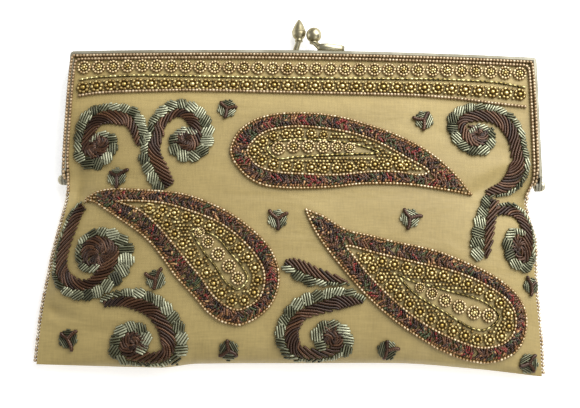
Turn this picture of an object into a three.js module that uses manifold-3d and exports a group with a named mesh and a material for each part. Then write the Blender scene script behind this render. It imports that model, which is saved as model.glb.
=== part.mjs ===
// A beaded satin evening clutch with a kiss-lock frame, lying on its back. Millimetres.
// +X runs along the frame, +Y from the bottom fold to the clasp, +Z out of the front panel.
// The middle of the frame is x = 0, and z = 0 is the plane that the back rests on.
import * as THREE from "three";
import { mergeVertices } from "three/addons/utils/BufferGeometryUtils.js";
import Module from "manifold-3d";

const wasm = await Module();
wasm.setup();

// Metal frame: two U-shaped channels face to face, the back one on the floor.
const FRAME = {
  halfTop: 104.8, // half the width across the top corners
  halfHinge: 106, // half the width at the hinges
  cornerY: 59.5, // top edge at the corners
  arch: 1.9, // how much higher the top edge is in the middle
  cornerRadius: 1.8,
  hingeY: 1.5,
  armEnd: 4.5, // lower end of the arms
  depth: 1.8, // channel depth, seen as the width of the rim
  web: 0.7, // outer wall of the channel
  half: 5.4, // thickness of one half
  apart: 0.4, // gap between the closed halves
  slot: 2.1, // width of the channel's groove
  bevel: 0.45,
};
const BACK_SLOT_Z = 2.4;
const FRONT_SLOT_Z = 8.8;
const FRONT_FRAME_Z = FRAME.half + FRAME.apart;
const HINGE_Z = FRAME.half + FRAME.apart / 2;

// Hinge: an ear on each half, one outside the other, and a rivet through both.
const EAR = { radius: 2.4, thickness: 1, apart: 0.3, overlap: 3, hole: 1 };
const RIVET = { shank: 0.7, head: 2.4, flange: 0.5, dome: 1.6, tail: 1.2, tailHeight: 0.5, clearance: 0.3 };

// Clasp knobs, each with a stem, a foot on the frame's top and a tenon through it. The pointed knob is
// on the back half. The round one is on the front half, and its foot is a leaf-shaped bar that grows
// lower towards its tip.
const KNOB = { stem: 1.3, footHeight: 0.7, tenon: 0.75, hole: 1.05, seat: 0.3 };
const POINTED_KNOB = { x: -2.1, baseY: 67.5, z: 4.5, footX: -3.7, footRadius: 1.7 };
const ROUND_KNOB = { x: 4.7, centreY: 69.95, z: 6.7, radius: 3.5, footX: 8.2 };
const LEAF = { end: 18.6, half: 1.9, height: 3.4, tipHeight: 3 };

// Satin pouch. `rise` is the height above the bottom fold.
const WALL = 1.5;
const POUCH_HEIGHT = 138;
const TUCK = 1.3; // from the frame's outer edge to the satin's edge in the groove
const FLATNESS = 3.5; // power of the pillow-shaped curve across the pouch
const EDGES = [
  { rise: 0, left: -113.2, right: 104.2 },
  { rise: 14, left: -112.5, right: 103.9 },
  { rise: 26, left: -111.4, right: 103.2 },
  { rise: 39, left: -109.5, right: 102.3 },
  { rise: 48, left: -108.2, right: 102.3 },
  { rise: 57, left: -106.4, right: 102.6 },
  { rise: 67, left: -104.2, right: 99.8 },
  { rise: 74, left: -102.6, right: 98.4 },
  { rise: 81, left: -101.8, right: 100.4 },
  { rise: 86.6, left: -102.3, right: 102.3 },
  { rise: 90.6, left: -104.5, right: 104.5 },
  { rise: 138, left: -103.5, right: 103.5 },
];
const PROFILE = [
  { rise: 0, front: 7, back: 4.6 },
  { rise: 1, front: 9.3, back: 2.6 },
  { rise: 3, front: 11.3, back: 1.1 },
  { rise: 6, front: 12.8, back: 0.1 },
  { rise: 12, front: 14.2, back: -0.6 },
  { rise: 25, front: 15.8, back: -0.8 },
  { rise: 42, front: 16.8, back: -0.8 },
  { rise: 60, front: 16.4, back: -0.8 },
  { rise: 81, front: 14.8, back: -0.8 },
  { rise: 100, front: 12.8, back: -0.8 },
  { rise: 120, front: 11, back: 0.2 },
  { rise: 134, front: 9.6, back: 1.6 },
  { rise: 138, front: 9.55, back: 1.65 },
];
const SEAM = [
  { rise: 0, front: 6.5, back: 4.7, inset: 3 },
  { rise: 3, front: 6.7, back: 3.7, inset: 3 },
  { rise: 73, front: 6.7, back: 3.7, inset: 3 },
  { rise: 81, front: 7.2, back: 3.6, inset: 1.5 },
  { rise: 86.6, front: 9, back: 2.2, inset: 0 },
  { rise: 90.6, front: 9.55, back: 1.65, inset: 0 },
  { rise: 138, front: 9.55, back: 1.65, inset: 0 },
];
const FOLD = [
  { x: -114, y: -79.7 },
  { x: -95, y: -80 },
  { x: -60, y: -80.4 },
  { x: -44, y: -78.5 },
  { x: 0, y: -77.7 },
  { x: 42, y: -77.1 },
  { x: 75, y: -79 },
  { x: 105, y: -82 },
];
// Dents and creases of the front: a soft hollow `along` by `across`, turned by `turn` degrees.
const DENTS = [
  { x: -101, y: -7, along: 9, across: 6, turn: 40, depth: 1.4 },
  { x: 98, y: -7, along: 10, across: 6, turn: -40, depth: 1.6 },
  { x: -108, y: -60, along: 10, across: 2.5, turn: -28, depth: 0.8 },
  { x: -60, y: -3, along: 20, across: 7, turn: 8, depth: 0.5 },
  { x: 60, y: -36, along: 8, across: 22, turn: 20, depth: 0.5 },
];
const ROW_RISES = [0, 0.8, 2.2, 4.5, 8, 14, 24, 36, 48, 59, 68, 74, 78, 81, 86.6, 90.6, 106, 122, 138];
const HINGE_ROW = ROW_RISES.indexOf(81);
const COLUMNS = 18;

// Beadwork on the front: plates as thick as the beads, a thread's gap off the satin.
const SEWN_GAP = 0.3;
const BEAD = 1.5;
const FRAME_ROWS = { inner: 4.95, outer: 2.05, bottom: -1.5, turnY: 10, turnIn: 3 };
const BAND = { top: 5.3, side: 5.4 };
const BAND_LOWER = [
  { x: -100, y: 37.2 },
  { x: -90, y: 38.8 },
  { x: -68, y: 40 },
  { x: -46, y: 40.6 },
  { x: -6, y: 40.2 },
  { x: 43, y: 39.8 },
  { x: 65, y: 38.7 },
  { x: 87, y: 36.3 },
  { x: 100, y: 35 },
];
// Paisleys: both sides of the outline, from the back of the belly to the tip, `left` seen on the way.
const PAISLEYS = [
  {
    name: "paisley_upper",
    left: [
      [-32.1, 15.4], [-30.4, 20], [-27.4, 24.2], [-20.7, 28.8], [-12, 31.3], [0, 32],
      [10, 31.4], [20, 29.7], [30, 26.8], [40, 23.2], [50, 18.6], [60, 12],
      [68, 4.4], [72.5, -1.4], [74.7, -4.4],
    ],
    right: [
      [-32.1, 12.8], [-30.8, 9.2], [-28, 5.4], [-24, 1.5], [-18, -1.7], [-10, -3],
      [0, -3.2], [14, -2.4], [26, -0.9], [40, -0.6], [50, -1.2], [60, -2.6],
      [70, -4.2], [74.3, -5],
    ],
  },
  {
    name: "paisley_left",
    left: [
      [-27.8, -62.7], [-34, -61.2], [-40, -57.3], [-46, -50.7], [-50, -46.6], [-55, -41.2],
      [-60, -34.4], [-64.4, -29], [-70, -23.9], [-80, -17.1], [-85, -13.8], [-90, -10.6],
      [-94.2, -9.4],
    ],
    right: [
      [-25.2, -62.7], [-19, -59.9], [-12.6, -54.2], [-9.5, -47.6], [-8.7, -41], [-9.7, -35.6],
      [-13, -28.6], [-20, -21.2], [-30, -13.8], [-40, -8.9], [-50, -5.5], [-60, -4.1],
      [-70, -3.5], [-83, -3.3], [-89, -4.7], [-93, -7.2], [-94.7, -8.6],
    ],
  },
  {
    name: "paisley_right",
    left: [
      [76.6, -76.9], [70, -75.8], [60, -72.2], [50, -66.6], [40, -59.9], [30, -51.4],
      [20, -40.7], [10, -28.4], [5, -20.8], [2, -14.4], [1, -11.6],
    ],
    right: [
      [79.4, -76.9], [85, -75.9], [91.6, -72.5], [95.4, -66.9], [97, -60], [96.4, -54],
      [93, -47.4], [87, -41.8], [80, -37.4], [70, -32.9], [60, -29], [50, -26.6],
      [40, -24.7], [30, -22.2], [20, -20], [10, -14.3], [5, -12.2], [2, -11.2],
    ],
  },
];
// Scrolls: the line between the bugles on the outside of a curl and the strands on its inside.
// `bugles` and `strands` are the widths of the two bands, `side` is 1 for bugles on the left.
const SCROLLS = [
  {
    name: "scroll_horn_left",
    side: -1,
    points: [
      { x: -71.6, y: 18.4, bugles: 0.8, strands: 2.4 }, { x: -72.8, y: 24.6, bugles: 2.2, strands: 4 },
      { x: -75.6, y: 29, bugles: 3.2, strands: 5.4 }, { x: -80, y: 31, bugles: 3.4, strands: 6.2 },
      { x: -86.4, y: 31.6, bugles: 2.8, strands: 6.2 }, { x: -91.6, y: 29.6, bugles: 3.8, strands: 5.6 },
      { x: -94.8, y: 26, bugles: 4.2, strands: 5.4 }, { x: -96.4, y: 21, bugles: 3.8, strands: 4.6 },
      { x: -97.2, y: 15.6, bugles: 2.8, strands: 4.2 }, { x: -96, y: 11.6, bugles: 4.2, strands: 3.6 },
      { x: -92, y: 9.8, bugles: 5.2, strands: 4 }, { x: -87.4, y: 11, bugles: 4.6, strands: 4 },
      { x: -84.9, y: 14.6, bugles: 3.8, strands: 4.2 }, { x: -85.4, y: 18.4, bugles: 3.6, strands: 3 },
      { x: -88, y: 19.8, bugles: 1.6, strands: 1.6 },
    ],
  },
  {
    name: "scroll_horn_right",
    side: 1,
    points: [
      { x: -61.4, y: -0.6, bugles: 4.4, strands: 4.4 }, { x: -64.6, y: 4.6, bugles: 4.4, strands: 5.4 },
      { x: -67.4, y: 10, bugles: 4, strands: 5.6 }, { x: -68, y: 15.6, bugles: 2.4, strands: 5.4 },
      { x: -66.2, y: 21, bugles: 2.4, strands: 5 }, { x: -65.2, y: 25.6, bugles: 2.8, strands: 4.6 },
      { x: -62, y: 29, bugles: 3.8, strands: 4 }, { x: -58.4, y: 31.6, bugles: 4.4, strands: 3.6 },
      { x: -54, y: 32.8, bugles: 4.2, strands: 3.8 }, { x: -50, y: 31.6, bugles: 4.2, strands: 4.4 },
      { x: -46.6, y: 29, bugles: 4.6, strands: 5 }, { x: -44.8, y: 25, bugles: 5.2, strands: 4.6 },
      { x: -44.3, y: 20, bugles: 5.8, strands: 4.8 }, { x: -45.2, y: 16, bugles: 5, strands: 4.6 },
      { x: -47.4, y: 13.6, bugles: 4.8, strands: 4 }, { x: -51, y: 13.2, bugles: 5, strands: 3.4 },
      { x: -54.2, y: 15.6, bugles: 4.8, strands: 2.6 }, { x: -54.9, y: 18.8, bugles: 3.4, strands: 1.8 },
      { x: -52.8, y: 21, bugles: 2.6, strands: 1.2 },
    ],
  },
  {
    name: "scroll_right_upper",
    side: -1,
    points: [
      { x: 83, y: -3.8, bugles: 0.4, strands: 1.2 }, { x: 88.4, y: -3.4, bugles: 0.7, strands: 3.6 },
      { x: 92.6, y: -0.6, bugles: 1.6, strands: 6 }, { x: 95.8, y: 3.2, bugles: 1.8, strands: 7 },
      { x: 97.4, y: 7, bugles: 1.8, strands: 7.2 }, { x: 97.7, y: 10.6, bugles: 2, strands: 6.6 },
      { x: 97, y: 14.2, bugles: 2.4, strands: 5.4 }, { x: 96.4, y: 18, bugles: 2.2, strands: 5.4 },
      { x: 95.8, y: 22, bugles: 2.4, strands: 5.8 }, { x: 94.2, y: 26.2, bugles: 2.4, strands: 6.4 },
      { x: 91.4, y: 30, bugles: 2.6, strands: 6.2 }, { x: 87.6, y: 32.4, bugles: 2.6, strands: 5.8 },
      { x: 83, y: 33.8, bugles: 2.4, strands: 5.4 }, { x: 78, y: 34.1, bugles: 2.6, strands: 5.2 },
      { x: 73.4, y: 33.2, bugles: 3.4, strands: 4.8 }, { x: 69.6, y: 31.2, bugles: 3.8, strands: 4.2 },
      { x: 67.9, y: 28.2, bugles: 4.4, strands: 3.8 }, { x: 68.3, y: 24.4, bugles: 4.2, strands: 4.2 },
      { x: 70.4, y: 20, bugles: 3.8, strands: 4.6 }, { x: 74.4, y: 17.2, bugles: 3.8, strands: 4.2 },
      { x: 79.2, y: 17.6, bugles: 4, strands: 4.2 }, { x: 81.8, y: 20.4, bugles: 3.2, strands: 3.2 },
      { x: 81.6, y: 23.4, bugles: 2.8, strands: 2 }, { x: 79, y: 25, bugles: 2.2, strands: 1.2 },
    ],
  },
  {
    name: "scroll_right_branch",
    side: -1,
    points: [
      { x: 80.8, y: -6.6, bugles: 3, strands: 3.2 }, { x: 80.8, y: -10.4, bugles: 4, strands: 3.8 },
      { x: 79.8, y: -15, bugles: 4.8, strands: 4.4 }, { x: 79, y: -20, bugles: 5.4, strands: 4.4 },
      { x: 78.8, y: -25, bugles: 6, strands: 3.6 }, { x: 78.4, y: -29.4, bugles: 5.8, strands: 3 },
      { x: 78.6, y: -32.2, bugles: 3.4, strands: 2 },
    ],
  },
  {
    name: "scroll_right_lower",
    side: 1,
    points: [
      { x: 86, y: -9.8, bugles: 0.6, strands: 3 }, { x: 90.8, y: -9, bugles: 1.2, strands: 4.2 },
      { x: 95.6, y: -11.4, bugles: 1, strands: 4.4 }, { x: 98.8, y: -16.6, bugles: 0.6, strands: 4.4 },
      { x: 100.2, y: -23, bugles: 0.5, strands: 4.8 }, { x: 99.6, y: -29.4, bugles: 1.2, strands: 3.8 },
      { x: 96.6, y: -34, bugles: 3.8, strands: 2.6 }, { x: 92.8, y: -32.4, bugles: 4, strands: 2.4 },
      { x: 91.2, y: -27, bugles: 4.6, strands: 2.8 }, { x: 91.6, y: -22.6, bugles: 3.6, strands: 2 },
      { x: 93.6, y: -21.2, bugles: 2.4, strands: 1.2 },
    ],
  },
  {
    name: "scroll_left",
    side: -1,
    points: [
      { x: -95.8, y: -10.6, bugles: 0.5, strands: 1.6 }, { x: -99.4, y: -14.4, bugles: 0.8, strands: 4 },
      { x: -102.2, y: -21, bugles: 0.6, strands: 5.2 }, { x: -104.4, y: -29, bugles: 0.6, strands: 5 },
      { x: -105.6, y: -36, bugles: 0.6, strands: 5.2 }, { x: -104.8, y: -42.4, bugles: 1.6, strands: 5.8 },
      { x: -101, y: -46.8, bugles: 3, strands: 5.8 }, { x: -95.4, y: -48.6, bugles: 4, strands: 5 },
      { x: -90, y: -47.8, bugles: 4.6, strands: 4.4 }, { x: -85.4, y: -45, bugles: 5.2, strands: 5 },
      { x: -81.4, y: -41, bugles: 6, strands: 5.6 }, { x: -78.8, y: -36, bugles: 6.8, strands: 5.8 },
      { x: -78, y: -31.6, bugles: 6.4, strands: 5.6 }, { x: -80.2, y: -27.6, bugles: 5.6, strands: 5.2 },
      { x: -84.6, y: -24.8, bugles: 3.8, strands: 5.2 }, { x: -89.8, y: -24.8, bugles: 3, strands: 4.8 },
      { x: -93.8, y: -27.6, bugles: 2.2, strands: 4.8 }, { x: -95, y: -32.4, bugles: 2, strands: 4 },
      { x: -93.4, y: -36.6, bugles: 2.8, strands: 2.4 },
    ],
  },
  {
    name: "scroll_bottom_left",
    side: 1,
    points: [
      { x: -84.6, y: -53, bugles: 0.7, strands: 1 }, { x: -80, y: -51, bugles: 1.6, strands: 3 },
      { x: -75, y: -50.2, bugles: 2.8, strands: 4.6 }, { x: -70, y: -50.8, bugles: 3.8, strands: 5.4 },
      { x: -65, y: -52.2, bugles: 3.6, strands: 5.8 }, { x: -61, y: -54.4, bugles: 4.2, strands: 6 },
      { x: -58, y: -58, bugles: 4.8, strands: 5.8 }, { x: -55, y: -62, bugles: 4.8, strands: 6.2 },
      { x: -52.8, y: -67, bugles: 4.8, strands: 6.6 }, { x: -52.6, y: -72, bugles: 5, strands: 6.2 },
      { x: -55, y: -76.2, bugles: 2.6, strands: 4.8 }, { x: -60, y: -78.2, bugles: 1, strands: 4.2 },
      { x: -67, y: -78.2, bugles: 0.9, strands: 4 }, { x: -72.8, y: -77, bugles: 2.2, strands: 3.8 },
      { x: -76.6, y: -73.6, bugles: 4.4, strands: 4.2 }, { x: -76.6, y: -69.6, bugles: 4, strands: 4 },
      { x: -74.4, y: -66.4, bugles: 4.4, strands: 3.6 }, { x: -70.8, y: -65.2, bugles: 4, strands: 3.2 },
      { x: -68.2, y: -67.2, bugles: 5, strands: 2.4 }, { x: -68, y: -70.4, bugles: 4.4, strands: 1.6 },
    ],
  },
  {
    name: "scroll_centre_leaf",
    side: -1,
    points: [
      { x: -7.4, y: -36.2, bugles: 1, strands: 2.2 }, { x: -4, y: -37.2, bugles: 3, strands: 4 },
      { x: 0, y: -39.2, bugles: 4, strands: 4.8 }, { x: 4, y: -41, bugles: 3.9, strands: 4.6 },
      { x: 8, y: -42.4, bugles: 2.3, strands: 4.4 }, { x: 12.4, y: -43.4, bugles: 1.1, strands: 3.8 },
      { x: 17, y: -43.8, bugles: 0.6, strands: 2.4 }, { x: 20.4, y: -43.6, bugles: 0.5, strands: 1.2 },
    ],
  },
  {
    name: "scroll_bottom_centre",
    side: -1,
    points: [
      { x: 27, y: -51, bugles: 0.7, strands: 1 }, { x: 22, y: -49.2, bugles: 3, strands: 4.4 },
      { x: 16, y: -48.7, bugles: 3.2, strands: 6 }, { x: 11, y: -50.4, bugles: 4.2, strands: 5.4 },
      { x: 6, y: -52, bugles: 4.8, strands: 5.2 }, { x: 2, y: -53.8, bugles: 5.2, strands: 4.8 },
      { x: -1.4, y: -55.6, bugles: 4.4, strands: 4.8 }, { x: -4, y: -58.6, bugles: 4.2, strands: 5.4 },
      { x: -6.2, y: -62, bugles: 3.6, strands: 5.8 }, { x: -7, y: -66, bugles: 3.5, strands: 6.2 },
      { x: -6, y: -70.6, bugles: 3.4, strands: 6 }, { x: -3.2, y: -74.2, bugles: 1.6, strands: 5.4 },
      { x: 2.4, y: -75.6, bugles: 0.8, strands: 4.4 }, { x: 9, y: -75.4, bugles: 0.8, strands: 3.6 },
      { x: 14.8, y: -73.8, bugles: 1.6, strands: 3.4 }, { x: 18, y: -71, bugles: 4, strands: 3.8 },
      { x: 18.6, y: -67.8, bugles: 4.2, strands: 4.2 }, { x: 16.8, y: -65, bugles: 4.4, strands: 3.6 },
      { x: 13, y: -63.8, bugles: 4.4, strands: 3 }, { x: 9.8, y: -65.4, bugles: 5.2, strands: 2.2 },
      { x: 9.6, y: -68, bugles: 4.2, strands: 1.4 },
    ],
  },
];
// Trefoil florets; the tenth wraps round the right edge and shows narrow.
const FLORETS = [
  { x: -33.5, y: 33, radius: 4.3 },
  { x: -80.8, y: 1.6, radius: 4.3 },
  { x: 53.6, y: 29, radius: 4.3 },
  { x: -10.4, y: -16.2, radius: 4.3 },
  { x: 47, y: -15, radius: 4.3 },
  { x: -62.2, y: -43.2, radius: 4.3 },
  { x: -98.6, y: -69, radius: 4.3 },
  { x: -30.2, y: -72.6, radius: 4.3 },
  { x: 37, y: -71.6, radius: 4.3 },
  { x: 98.8, y: -43.6, radius: 3.2 },
  { x: 97, y: -76.6, radius: 4.3 },
];
const SEAM_STRING = { radius: 0.75, gap: 0.3, top: 72, bottom: 1, sides: 8, steps: 20 };

// Smooth line through a table's rows, without overshoot between them.
function along(table, key, column, at) {
  const last = table.length - 1;
  if (at <= table[0][key]) return table[0][column];
  if (at >= table[last][key]) return table[last][column];
  const slope = (i) => (table[i + 1][column] - table[i][column]) / (table[i + 1][key] - table[i][key]);
  const tangent = (i) => {
    if (i === 0) return slope(0);
    if (i === last) return slope(last - 1);
    const [before, after] = [slope(i - 1), slope(i)];
    return before * after > 0 ? (2 * before * after) / (before + after) : 0;
  };
  const i = table.findIndex((row, n) => n < last && at < table[n + 1][key]);
  const span = table[i + 1][key] - table[i][key];
  const t = (at - table[i][key]) / span;
  const ease = t * t * (3 - 2 * t);
  const start = t * (1 - t) * (1 - t) * span * tangent(i);
  const end = t * t * (1 - t) * span * tangent(i + 1);
  return table[i][column] + (table[i + 1][column] - table[i][column]) * ease + start - end;
}

const foldY = (x) => along(FOLD, "x", "y", x);
const satinTopY = (x) => FRAME.cornerY - TUCK + FRAME.arch * (1 - (x / FRAME.halfTop) ** 2);
const planY = (x, rise) => foldY(x) + (rise / POUCH_HEIGHT) * (satinTopY(x) - foldY(x));
const riseAt = (x, y) => (POUCH_HEIGHT * (y - foldY(x))) / (satinTopY(x) - foldY(x));

// How far a point is from the seams: 0 at either edge, 1 in the middle.
function fullness(x, rise) {
  const left = along(EDGES, "rise", "left", rise);
  const right = along(EDGES, "rise", "right", rise);
  const across = (2 * x - left - right) / (right - left);
  return 1 - Math.min(Math.abs(across), 1) ** FLATNESS;
}

function dentDepth(x, y) {
  let depth = 0;
  for (const dent of DENTS) {
    const turn = THREE.MathUtils.degToRad(dent.turn);
    const [dx, dy] = [x - dent.x, y - dent.y];
    const a = (dx * Math.cos(turn) + dy * Math.sin(turn)) / dent.along;
    const b = (dy * Math.cos(turn) - dx * Math.sin(turn)) / dent.across;
    depth += dent.depth * Math.exp(-a * a - b * b);
  }
  return depth;
}

function frontZ(x, y) {
  const rise = riseAt(x, y);
  const edge = along(SEAM, "rise", "front", rise);
  const middle = along(PROFILE, "rise", "front", rise);
  const full = fullness(x, rise);
  return edge + (middle - edge) * full - dentDepth(x, y) * Math.min(1, 3 * full);
}

function backZ(x, y) {
  const rise = riseAt(x, y);
  const edge = along(SEAM, "rise", "back", rise);
  const middle = along(PROFILE, "rise", "back", rise);
  return Math.max(0, edge + (middle - edge) * fullness(x, rise));
}

function surfaceNormal(height, x, y) {
  const step = 0.2;
  const dx = (height(x + step, y) - height(x - step, y)) / (2 * step);
  const dy = (height(x, y + step) - height(x, y - step)) / (2 * step);
  return new THREE.Vector3(-dx, -dy, 1).normalize();
}

function meshFrom(points, quads) {
  const geometry = new THREE.BufferGeometry();
  geometry.setAttribute("position", new THREE.Float32BufferAttribute(points.flat(), 3));
  geometry.setIndex(quads.flatMap(([a, b, c, d]) => [a, b, c, a, c, d]));
  return geometry;
}

// Quads between two rows of point numbers, facing the left of the way from `low` to `high`.
function strip(low, high) {
  return low.slice(1).map((_, i) => [low[i], low[i + 1], high[i + 1], high[i]]);
}

// The pouch: an outer and an inner skin, front and back, joined along the fold, the side seams
// below the hinges and the raw edges above them.
function pouchGeometry() {
  const points = [];
  const skin = (place) =>
    ROW_RISES.map((rise) =>
      Array.from({ length: COLUMNS + 1 }, (_, column) => {
        points.push(place(rise, Math.sin((Math.PI / 2) * ((2 * column) / COLUMNS - 1))));
        return points.length - 1;
      }),
    );
  const across = (rise, inset, part) => {
    const left = along(EDGES, "rise", "left", rise) + inset;
    const right = along(EDGES, "rise", "right", rise) - inset;
    return (left + right) / 2 + (part * (right - left)) / 2;
  };
  const outer = (height) => (rise, part) => {
    const x = across(rise, 0, part);
    const y = planY(x, rise);
    return [x, y, height(x, y)];
  };
  const inner = (height, way) => (rise, part) => {
    const innerRise = WALL + (rise * (POUCH_HEIGHT - WALL)) / POUCH_HEIGHT;
    const x = across(innerRise, along(SEAM, "rise", "inset", innerRise), part);
    const y = planY(x, innerRise);
    const middle = (frontZ(x, y) + backZ(x, y)) / 2;
    const slant = Math.min(1 / surfaceNormal(height, x, y).z, 2);
    const half = Math.abs(height(x, y) - middle) - WALL * slant;
    return [x, y, middle + way * Math.max(half, 0.4)];
  };
  const front = skin(outer(frontZ));
  const back = skin(outer(backZ));
  const frontInside = skin(inner(frontZ, 1));
  const backInside = skin(inner(backZ, -1));
  const flip = (quads) => quads.map(([a, b, c, d]) => [d, c, b, a]);
  const grid = (rows) => rows.slice(1).flatMap((row, i) => strip(rows[i], row));
  const quads = [
    ...grid(front),
    ...flip(grid(back)),
    ...flip(grid(frontInside)),
    ...grid(backInside),
    ...strip(back[0], front[0]),
    ...flip(strip(backInside[0], frontInside[0])),
    ...strip(front.at(-1), frontInside.at(-1)),
    ...flip(strip(back.at(-1), backInside.at(-1))),
  ];
  for (const [end, turn] of [[0, flip], [COLUMNS, (same) => same]]) {
    const edge = (rows, from, to) => rows.slice(from, to).map((row) => row[end]);
    const top = ROW_RISES.length;
    const [f, b, fi, bi] = [front, back, frontInside, backInside];
    quads.push(...turn(strip(edge(b, 0, HINGE_ROW + 1), edge(f, 0, HINGE_ROW + 1))));
    quads.push(...turn(flip(strip(edge(bi, 0, HINGE_ROW + 1), edge(fi, 0, HINGE_ROW + 1)))));
    quads.push(...turn(strip(edge(fi, HINGE_ROW, top), edge(f, HINGE_ROW, top))));
    quads.push(...turn(strip(edge(b, HINGE_ROW, top), edge(bi, HINGE_ROW, top))));
    quads.push(...turn([[b[HINGE_ROW][end], bi[HINGE_ROW][end], fi[HINGE_ROW][end], f[HINGE_ROW][end]]]));
  }
  return meshFrom(points, quads);
}

// A plate that lies on the front panel: `place` takes two numbers from 0 to 1 to a point in plan.
function plateGeometry(stations, lanes, place, thickness = BEAD) {
  const points = [];
  const sheet = (offset) =>
    Array.from({ length: lanes + 1 }, (_, lane) =>
      Array.from({ length: stations + 1 }, (_, station) => {
        const [x, y] = place(station / stations, lane / lanes);
        const lift = surfaceNormal(frontZ, x, y).multiplyScalar(offset);
        points.push([x + lift.x, y + lift.y, frontZ(x, y) + lift.z]);
        return points.length - 1;
      }),
    );
  const low = sheet(SEWN_GAP);
  const high = sheet(SEWN_GAP + thickness);
  const flip = (quads) => quads.map(([a, b, c, d]) => [d, c, b, a]);
  const grid = (rows) => rows.slice(1).flatMap((row, i) => strip(rows[i], row));
  const side = (rows, end) => rows.map((row) => row.at(end));
  return meshFrom(points, [
    ...grid(high),
    ...flip(grid(low)),
    ...strip(low[0], high[0]),
    ...flip(strip(low.at(-1), high.at(-1))),
    ...flip(strip(side(low, 0), side(high, 0))),
    ...strip(side(low, -1), side(high, -1)),
  ]);
}

// Outer edge of the frame moved inwards by `inset`, from the left arm's end round to the right's.
const halfWidth = (y) =>
  FRAME.halfHinge + ((FRAME.halfTop - FRAME.halfHinge) * (y - FRAME.hingeY)) / (FRAME.cornerY - FRAME.hingeY);

function frameLine(inset, bottom, archSteps = 12, cornerSteps = 4) {
  const middle = Math.max(FRAME.cornerRadius, inset);
  const radius = middle - inset;
  const reach = FRAME.halfTop - middle;
  const left = [new THREE.Vector2(inset - halfWidth(bottom), bottom)];
  for (let i = 0; i <= (radius > 0 ? cornerSteps : 0); i++) {
    const angle = Math.PI - (Math.PI / 2) * (radius > 0 ? i / cornerSteps : 0);
    const x = -reach + radius * Math.cos(angle);
    left.push(new THREE.Vector2(x, FRAME.cornerY - middle + radius * Math.sin(angle)));
  }
  const arch = [];
  for (let i = 1; i < archSteps; i++) {
    const x = reach * ((2 * i) / archSteps - 1);
    arch.push(new THREE.Vector2(x, FRAME.cornerY - inset + FRAME.arch * (1 - (x / reach) ** 2)));
  }
  const right = left.map((p) => new THREE.Vector2(-p.x, p.y)).reverse();
  return [...left, ...arch, ...right];
}

const ribbonShape = (outer, inner, bottom) =>
  new THREE.Shape([...frameLine(outer, bottom), ...frameLine(inner, bottom).reverse()]);

function extrude(shape, depth, bevel = 0) {
  const geometry = new THREE.ExtrudeGeometry(shape, {
    depth: depth - 2 * bevel,
    bevelEnabled: bevel > 0,
    bevelThickness: bevel,
    bevelSize: bevel,
    bevelOffset: -bevel,
    bevelSegments: 1,
    curveSegments: 10,
  });
  return geometry.translate(0, 0, bevel);
}

function solid(geometry) {
  const bare = geometry.clone();
  bare.deleteAttribute("normal");
  bare.deleteAttribute("uv");
  const welded = mergeVertices(bare, 1e-4);
  const vertProperties = new Float32Array(welded.attributes.position.array);
  const triVerts = new Uint32Array(welded.index.array);
  return new wasm.Manifold(new wasm.Mesh({ numProp: 3, vertProperties, triVerts }));
}

function geometryOf(manifold) {
  const mesh = manifold.getMesh();
  const geometry = new THREE.BufferGeometry();
  geometry.setAttribute("position", new THREE.Float32BufferAttribute(mesh.vertProperties, 3));
  geometry.setIndex(Array.from(mesh.triVerts));
  return geometry;
}

const joined = (geometries) => geometries.map(solid).reduce((all, next) => all.add(next));

// A round bar along a smooth line through the given points.
function bar(points, radius, sides, steps) {
  const ring = new THREE.Shape().absarc(0, 0, radius, 0, 2 * Math.PI);
  const line = new THREE.CatmullRomCurve3(points.map((p) => new THREE.Vector3(...p)));
  return new THREE.ExtrudeGeometry(new THREE.Shape(ring.getPoints(sides / 2).slice(0, -1)), {
    steps,
    extrudePath: line,
    bevelEnabled: false,
  });
}

const lathe = (profile, segments = 14) =>
  new THREE.LatheGeometry(profile.map(([radius, height]) => new THREE.Vector2(radius, height)), segments);

// Shape drawn in Y and Z, extruded along X from `x`.
function extrudeAlongX(shape, thickness, x) {
  const turn = new THREE.Matrix4().makeBasis(
    new THREE.Vector3(0, 1, 0),
    new THREE.Vector3(0, 0, 1),
    new THREE.Vector3(1, 0, 0),
  );
  return extrude(shape, thickness).applyMatrix4(turn).translate(x, 0, 0);
}

function earShape(front) {
  const mirror = (z) => (front ? z : 2 * HINGE_Z - z);
  const [high, low] = [HINGE_Z + 5, HINGE_Z + 0.6];
  const points = [[FRAME.armEnd + EAR.overlap, high], [FRAME.armEnd, high]];
  for (let i = 0; i <= 10; i++) {
    const angle = (Math.PI / 180) * (130 + 23 * i);
    points.push([FRAME.hingeY + EAR.radius * Math.cos(angle), HINGE_Z + EAR.radius * Math.sin(angle)]);
  }
  points.push([FRAME.armEnd + EAR.overlap, low]);
  return new THREE.Shape(points.map(([y, z]) => new THREE.Vector2(y, mirror(z))));
}

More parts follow.
